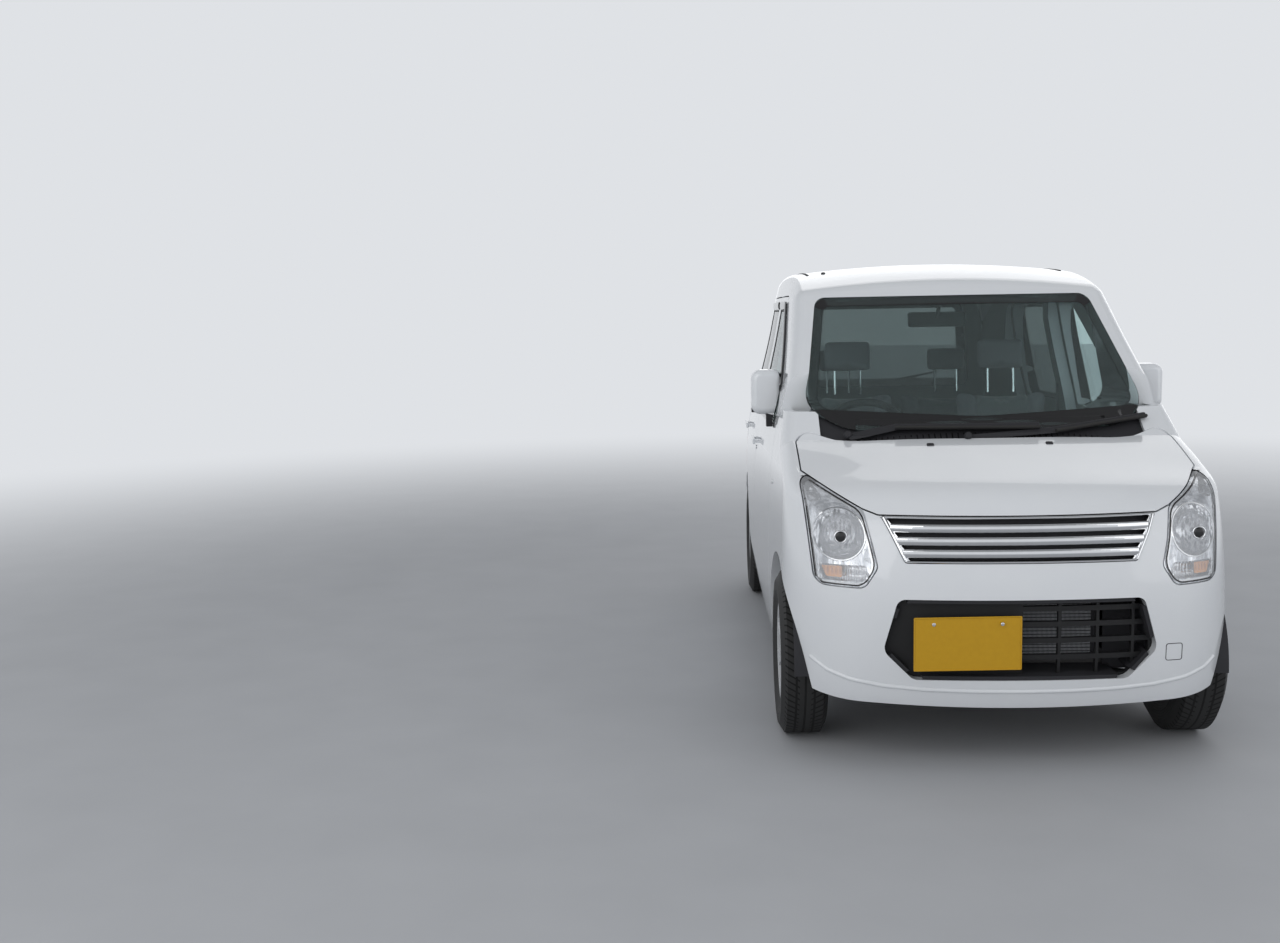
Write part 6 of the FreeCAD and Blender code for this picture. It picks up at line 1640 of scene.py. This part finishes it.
@dataclass
class Seats:
    """The padded seats, swollen by pressure from slightly smaller forms."""

    voxel: float = 0.006
    pressure: float = 4.0
    swell: float = 0.022
    frames: int = 20
    seam_width: float = 0.009
    seam_depth: float = 0.009
    front_x: float = 0.330
    bench_x: float = 0.252
    bench_rest_x: float = 0.270
    cushion_lean: float = -3.5
    back_lean: float = -9.5
    cover_off: float = 0.222
    made: list[bpy.types.Object] = field(default_factory=list)

    def build(self) -> None:
        """Make the front seats and the rear bench, and let them stand for their solids."""
        level, lean = turned(x=self.cushion_lean), turned(x=self.back_lean)
        front, bench = self.front_x, self.bench_x
        for name, size, middle, tilt, seams in (
                ("front_cushion", (0.400, 0.420, 0.085), (front, -0.145, 0.518), level, (0.118,)),
                ("front_back", (0.395, 0.060, 0.480), (front, 0.100, 0.850), lean, (0.112,)),
                ("front_headrest", (0.195, 0.040, 0.125), (front, 0.145, 1.250), lean, ()),
                ("bench_cushion", (0.440, 0.430, 0.110), (bench, 0.810, 0.452), level, (0.128,)),
                ("bench_back", (0.440, 0.055, 0.430), (bench, 1.050, 0.810), lean, (0.128,)),
                ("bench_headrest", (0.185, 0.040, 0.105), (self.bench_rest_x, 1.096, 1.197), lean, ())):
            self.pad(name, size, Vector(middle), tilt, seams)
        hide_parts("front_seats")
        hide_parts("rear_seat")
        self.fit_hardware()

    def pad(self, name: str, size: Point, middle: Vector, lean: Matrix, seams: tuple[float, ...]) -> None:
        """Make one padded piece on the left side and its twin on the right.

        Args:
            name: The piece's name.
            size: Its size before it swells.
            middle: Its middle.
            lean: How it leans.
            seams: How far its sewn lines are from its middle.
        """
        form = block(size, min(size) * 0.42, 4)
        bmesh.ops.transform(form, matrix=Matrix.Translation(middle) @ lean, verts=form.verts)
        data = bpy.data.meshes.new(name)
        form.to_mesh(data)
        form.free()
        piece = bpy.data.objects.new(name, data)
        bpy.context.scene.collection.objects.link(piece)
        self.swell_up(piece)
        self.sew(piece, middle, seams)
        self.dress_pad(piece, middle, seams)
        self.keep(piece)
        mesh = bmesh.new()
        mesh.from_mesh(piece.data)
        bmesh.ops.scale(mesh, vec=(-1.0, 1.0, 1.0), verts=mesh.verts)
        bmesh.ops.recalc_face_normals(mesh, faces=mesh.faces)
        twin = piece.data.copy()
        mesh.to_mesh(twin)
        mesh.free()
        other = bpy.data.objects.new(name + "_right", twin)
        bpy.context.scene.collection.objects.link(other)
        self.keep(other)

    def swell_up(self, piece: bpy.types.Object) -> None:
        """Remesh a form and let cloth pressure round it, up to the cap.

        Args:
            piece: The form.
        """
        bpy.context.view_layer.objects.active = piece
        remesh = piece.modifiers.new("remesh", "REMESH")
        remesh.mode = "VOXEL"
        remesh.voxel_size = self.voxel
        bpy.ops.object.modifier_apply(modifier=remesh.name)
        start = [v.co.copy() for v in piece.data.vertices]
        cloth = piece.modifiers.new("cloth", "CLOTH")
        cloth.settings.use_pressure = True
        cloth.settings.uniform_pressure_force = self.pressure
        cloth.settings.quality = 4
        cloth.settings.effector_weights.gravity = 0.0
        cloth.collision_settings.use_collision = False
        cloth.point_cache.frame_end = self.frames
        scene = bpy.context.scene
        for step in range(1, self.frames + 1):
            scene.frame_set(step)
        graph = bpy.context.evaluated_depsgraph_get()
        moved = [v.co.copy() for v in piece.evaluated_get(graph).data.vertices]
        piece.modifiers.remove(cloth)
        scene.frame_set(1)
        for vertex, before, after in zip(piece.data.vertices, start, moved):
            shift = after - before
            if shift.length > self.swell:
                shift.length = self.swell
            vertex.co = before + shift
        piece.data.update()

    def sew(self, piece: bpy.types.Object, middle: Vector, seams: tuple[float, ...]) -> None:
        """Press the sewn lines into a padded piece and soften it.

        Args:
            piece: The padded piece.
            middle: Its middle.
            seams: How far its sewn lines are from its middle.
        """
        mesh = bmesh.new()
        mesh.from_mesh(piece.data)
        bmesh.ops.smooth_vert(mesh, verts=mesh.verts, factor=0.5, use_axis_x=True, use_axis_y=True,
                              use_axis_z=True)
        mesh.normal_update()
        for vertex in mesh.verts:
            for seam in seams:
                away = abs(abs(vertex.co.x - middle.x) - seam)
                vertex.co -= vertex.normal * self.seam_depth * math.exp(-(away / self.seam_width) ** 2)
        mesh.to_mesh(piece.data)
        mesh.free()

    def dress_pad(self, piece: bpy.types.Object, middle: Vector, seams: tuple[float, ...]) -> None:
        """Give a padded piece one cloth at its edges and another between its sewn lines.

        Args:
            piece: The padded piece.
            middle: Its middle.
            seams: How far its sewn lines are from its middle.
        """
        piece.data.shade_smooth()
        piece.data.materials.clear()
        for finish in (SEAT_CLOTH, SEAT_PANEL):
            piece.data.materials.append(finish.material())
        edge = max(seams, default=0.0)
        for polygon in piece.data.polygons:
            polygon.material_index = 1 if abs(polygon.center.x - middle.x) < edge else 0

    def keep(self, piece: bpy.types.Object) -> None:
        """Let a padded piece ride on the car.

        Args:
            piece: The padded piece.
        """
        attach(piece, "root")
        self.made.append(piece)
        log.info("%s has %d faces", piece.name, len(piece.data.polygons))

    def fit_hardware(self) -> None:
        """Fit the headrests' posts and the front seats' side covers."""
        posts = Piece("headrest_posts", CHROME)
        for x, y, low, high in ((self.front_x, 0.140, 1.085, 1.215),
                                (self.bench_rest_x, 1.096, 1.035, 1.165)):
            for sign in (-1.0, 1.0):
                for off in (-0.055, 0.055):
                    across = sign * x + off
                    posts.add(rod([(across, y - 0.008, low), (across, y + 0.006, high)], 0.0055))
        posts.done()
        covers = Piece("seat_side_covers", DARK_TRIM)
        for sign in (-1.0, 1.0):
            for off in (-self.cover_off, self.cover_off):
                covers.add(block((0.022, 0.300, 0.070), 0.010), (sign * self.front_x + off, -0.060, 0.490),
                           turned(x=self.cushion_lean))
        covers.done()


@dataclass
class Underside:
    """Springs, engine dressing and small parts under the bonnet and floor."""

    strut_in: float = 0.062
    strut_lean: float = 12.0
    strut_up: float = 0.318
    front_spring: Flat = (0.0555, 0.255)
    rear_spring: Flat = (0.0500, 0.048)
    rear_spring_at: Point = (0.4285, REAR_AXLE - 0.0825, 0.2715)
    rib_pitch: float = 0.055
    pulley_x: tuple[float, ...] = (-0.17, 0.02, 0.19)

    def build(self) -> None:
        """Make the coil springs and dress the engine bay."""
        self.wind_springs()
        self.dress_engine()
        self.cap_radiator()

    def wind_springs(self) -> None:
        """Wind a coil round each front strut and on each rear spring seat."""
        lean = math.radians(self.strut_lean)
        for side, sign in SIDES:
            way = Vector((-math.sin(lean) * sign, 0.0, math.cos(lean)))
            foot = Vector(((HALF_TRACK["front"] - self.strut_in) * sign, FRONT_AXLE, AXLE_UP))
            radius, length = self.front_spring
            Piece("front_spring_" + side, SPRING_GREY, "knuckle_" + side).add(
                coil(foot + way * self.strut_up, way, radius, 0.0052, length, 5.5)).done()
            radius, length = self.rear_spring
            Piece("rear_spring_" + side, SPRING_GREY).add(
                coil(mirrored(self.rear_spring_at, sign), Vector((0.0, 0.0, 1.0)), radius, 0.0050, length,
                     2.0)).done()

    def dress_engine(self) -> None:
        """Fit the engine's cover, filler cap, ribs and pulleys."""
        low, high = (Vector(p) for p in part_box("engine"))
        middle = (low + high) / 2
        cover = Piece("engine_cover", BLACK_PLASTIC_AND_GAP_SHADE)
        cover.add(block((0.360, 0.190, 0.030), 0.012), (0.03, middle.y, high.z + 0.010))
        for i in range(5):
            x, z = -0.10 + 0.065 * i, high.z + 0.025
            cover.add(rod([(x, middle.y - 0.080, z), (x, middle.y + 0.080, z)], 0.006))
        cover.done()
        Piece("filler_caps", DARK_TRIM).add(
            drum(0.026, 0.022, 0.005, sides=12), (-0.19, middle.y + 0.03, high.z + 0.006)).done()
        ribs = Piece("engine_ribs", CAST_METAL)
        for i in range(7):
            y, z = low.y - 0.003, low.z + 0.060 + self.rib_pitch * i
            ribs.add(rod([(low.x + 0.03, y, z), (high.x - 0.03, y, z)], 0.006))
        for x in self.pulley_x:
            ribs.add(drum(0.055, 0.012, 0.004), (x, low.y - 0.004, middle.z + 0.09), turned(x=90.0))
        ribs.done()

    def cap_radiator(self) -> None:
        """Put a tank on each end of the radiator."""
        low, high = (Vector(p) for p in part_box("radiator"))
        middle = (low + high) / 2
        tanks = Piece("radiator_tanks", BLACK_PLASTIC_AND_GAP_SHADE)
        for x in (low.x, high.x):
            tanks.add(block((0.034, 0.046, high.z - low.z + 0.004), 0.010),
                      (x - math.copysign(0.012, x), middle.y, middle.z))
        tanks.done()


def main() -> None:
    """Build the studio and every sub-assembly in order."""
    logging.basicConfig(level=logging.INFO, format="%(message)s")
    for part in (Studio(), Frame(), FrontEnd(), Glazing(), Cowl(), Wheels(), RearEnd(), Body(), Cabin(),
                 Seats(), Underside()):
        part.build()


if __name__ == "__main__":
    main()
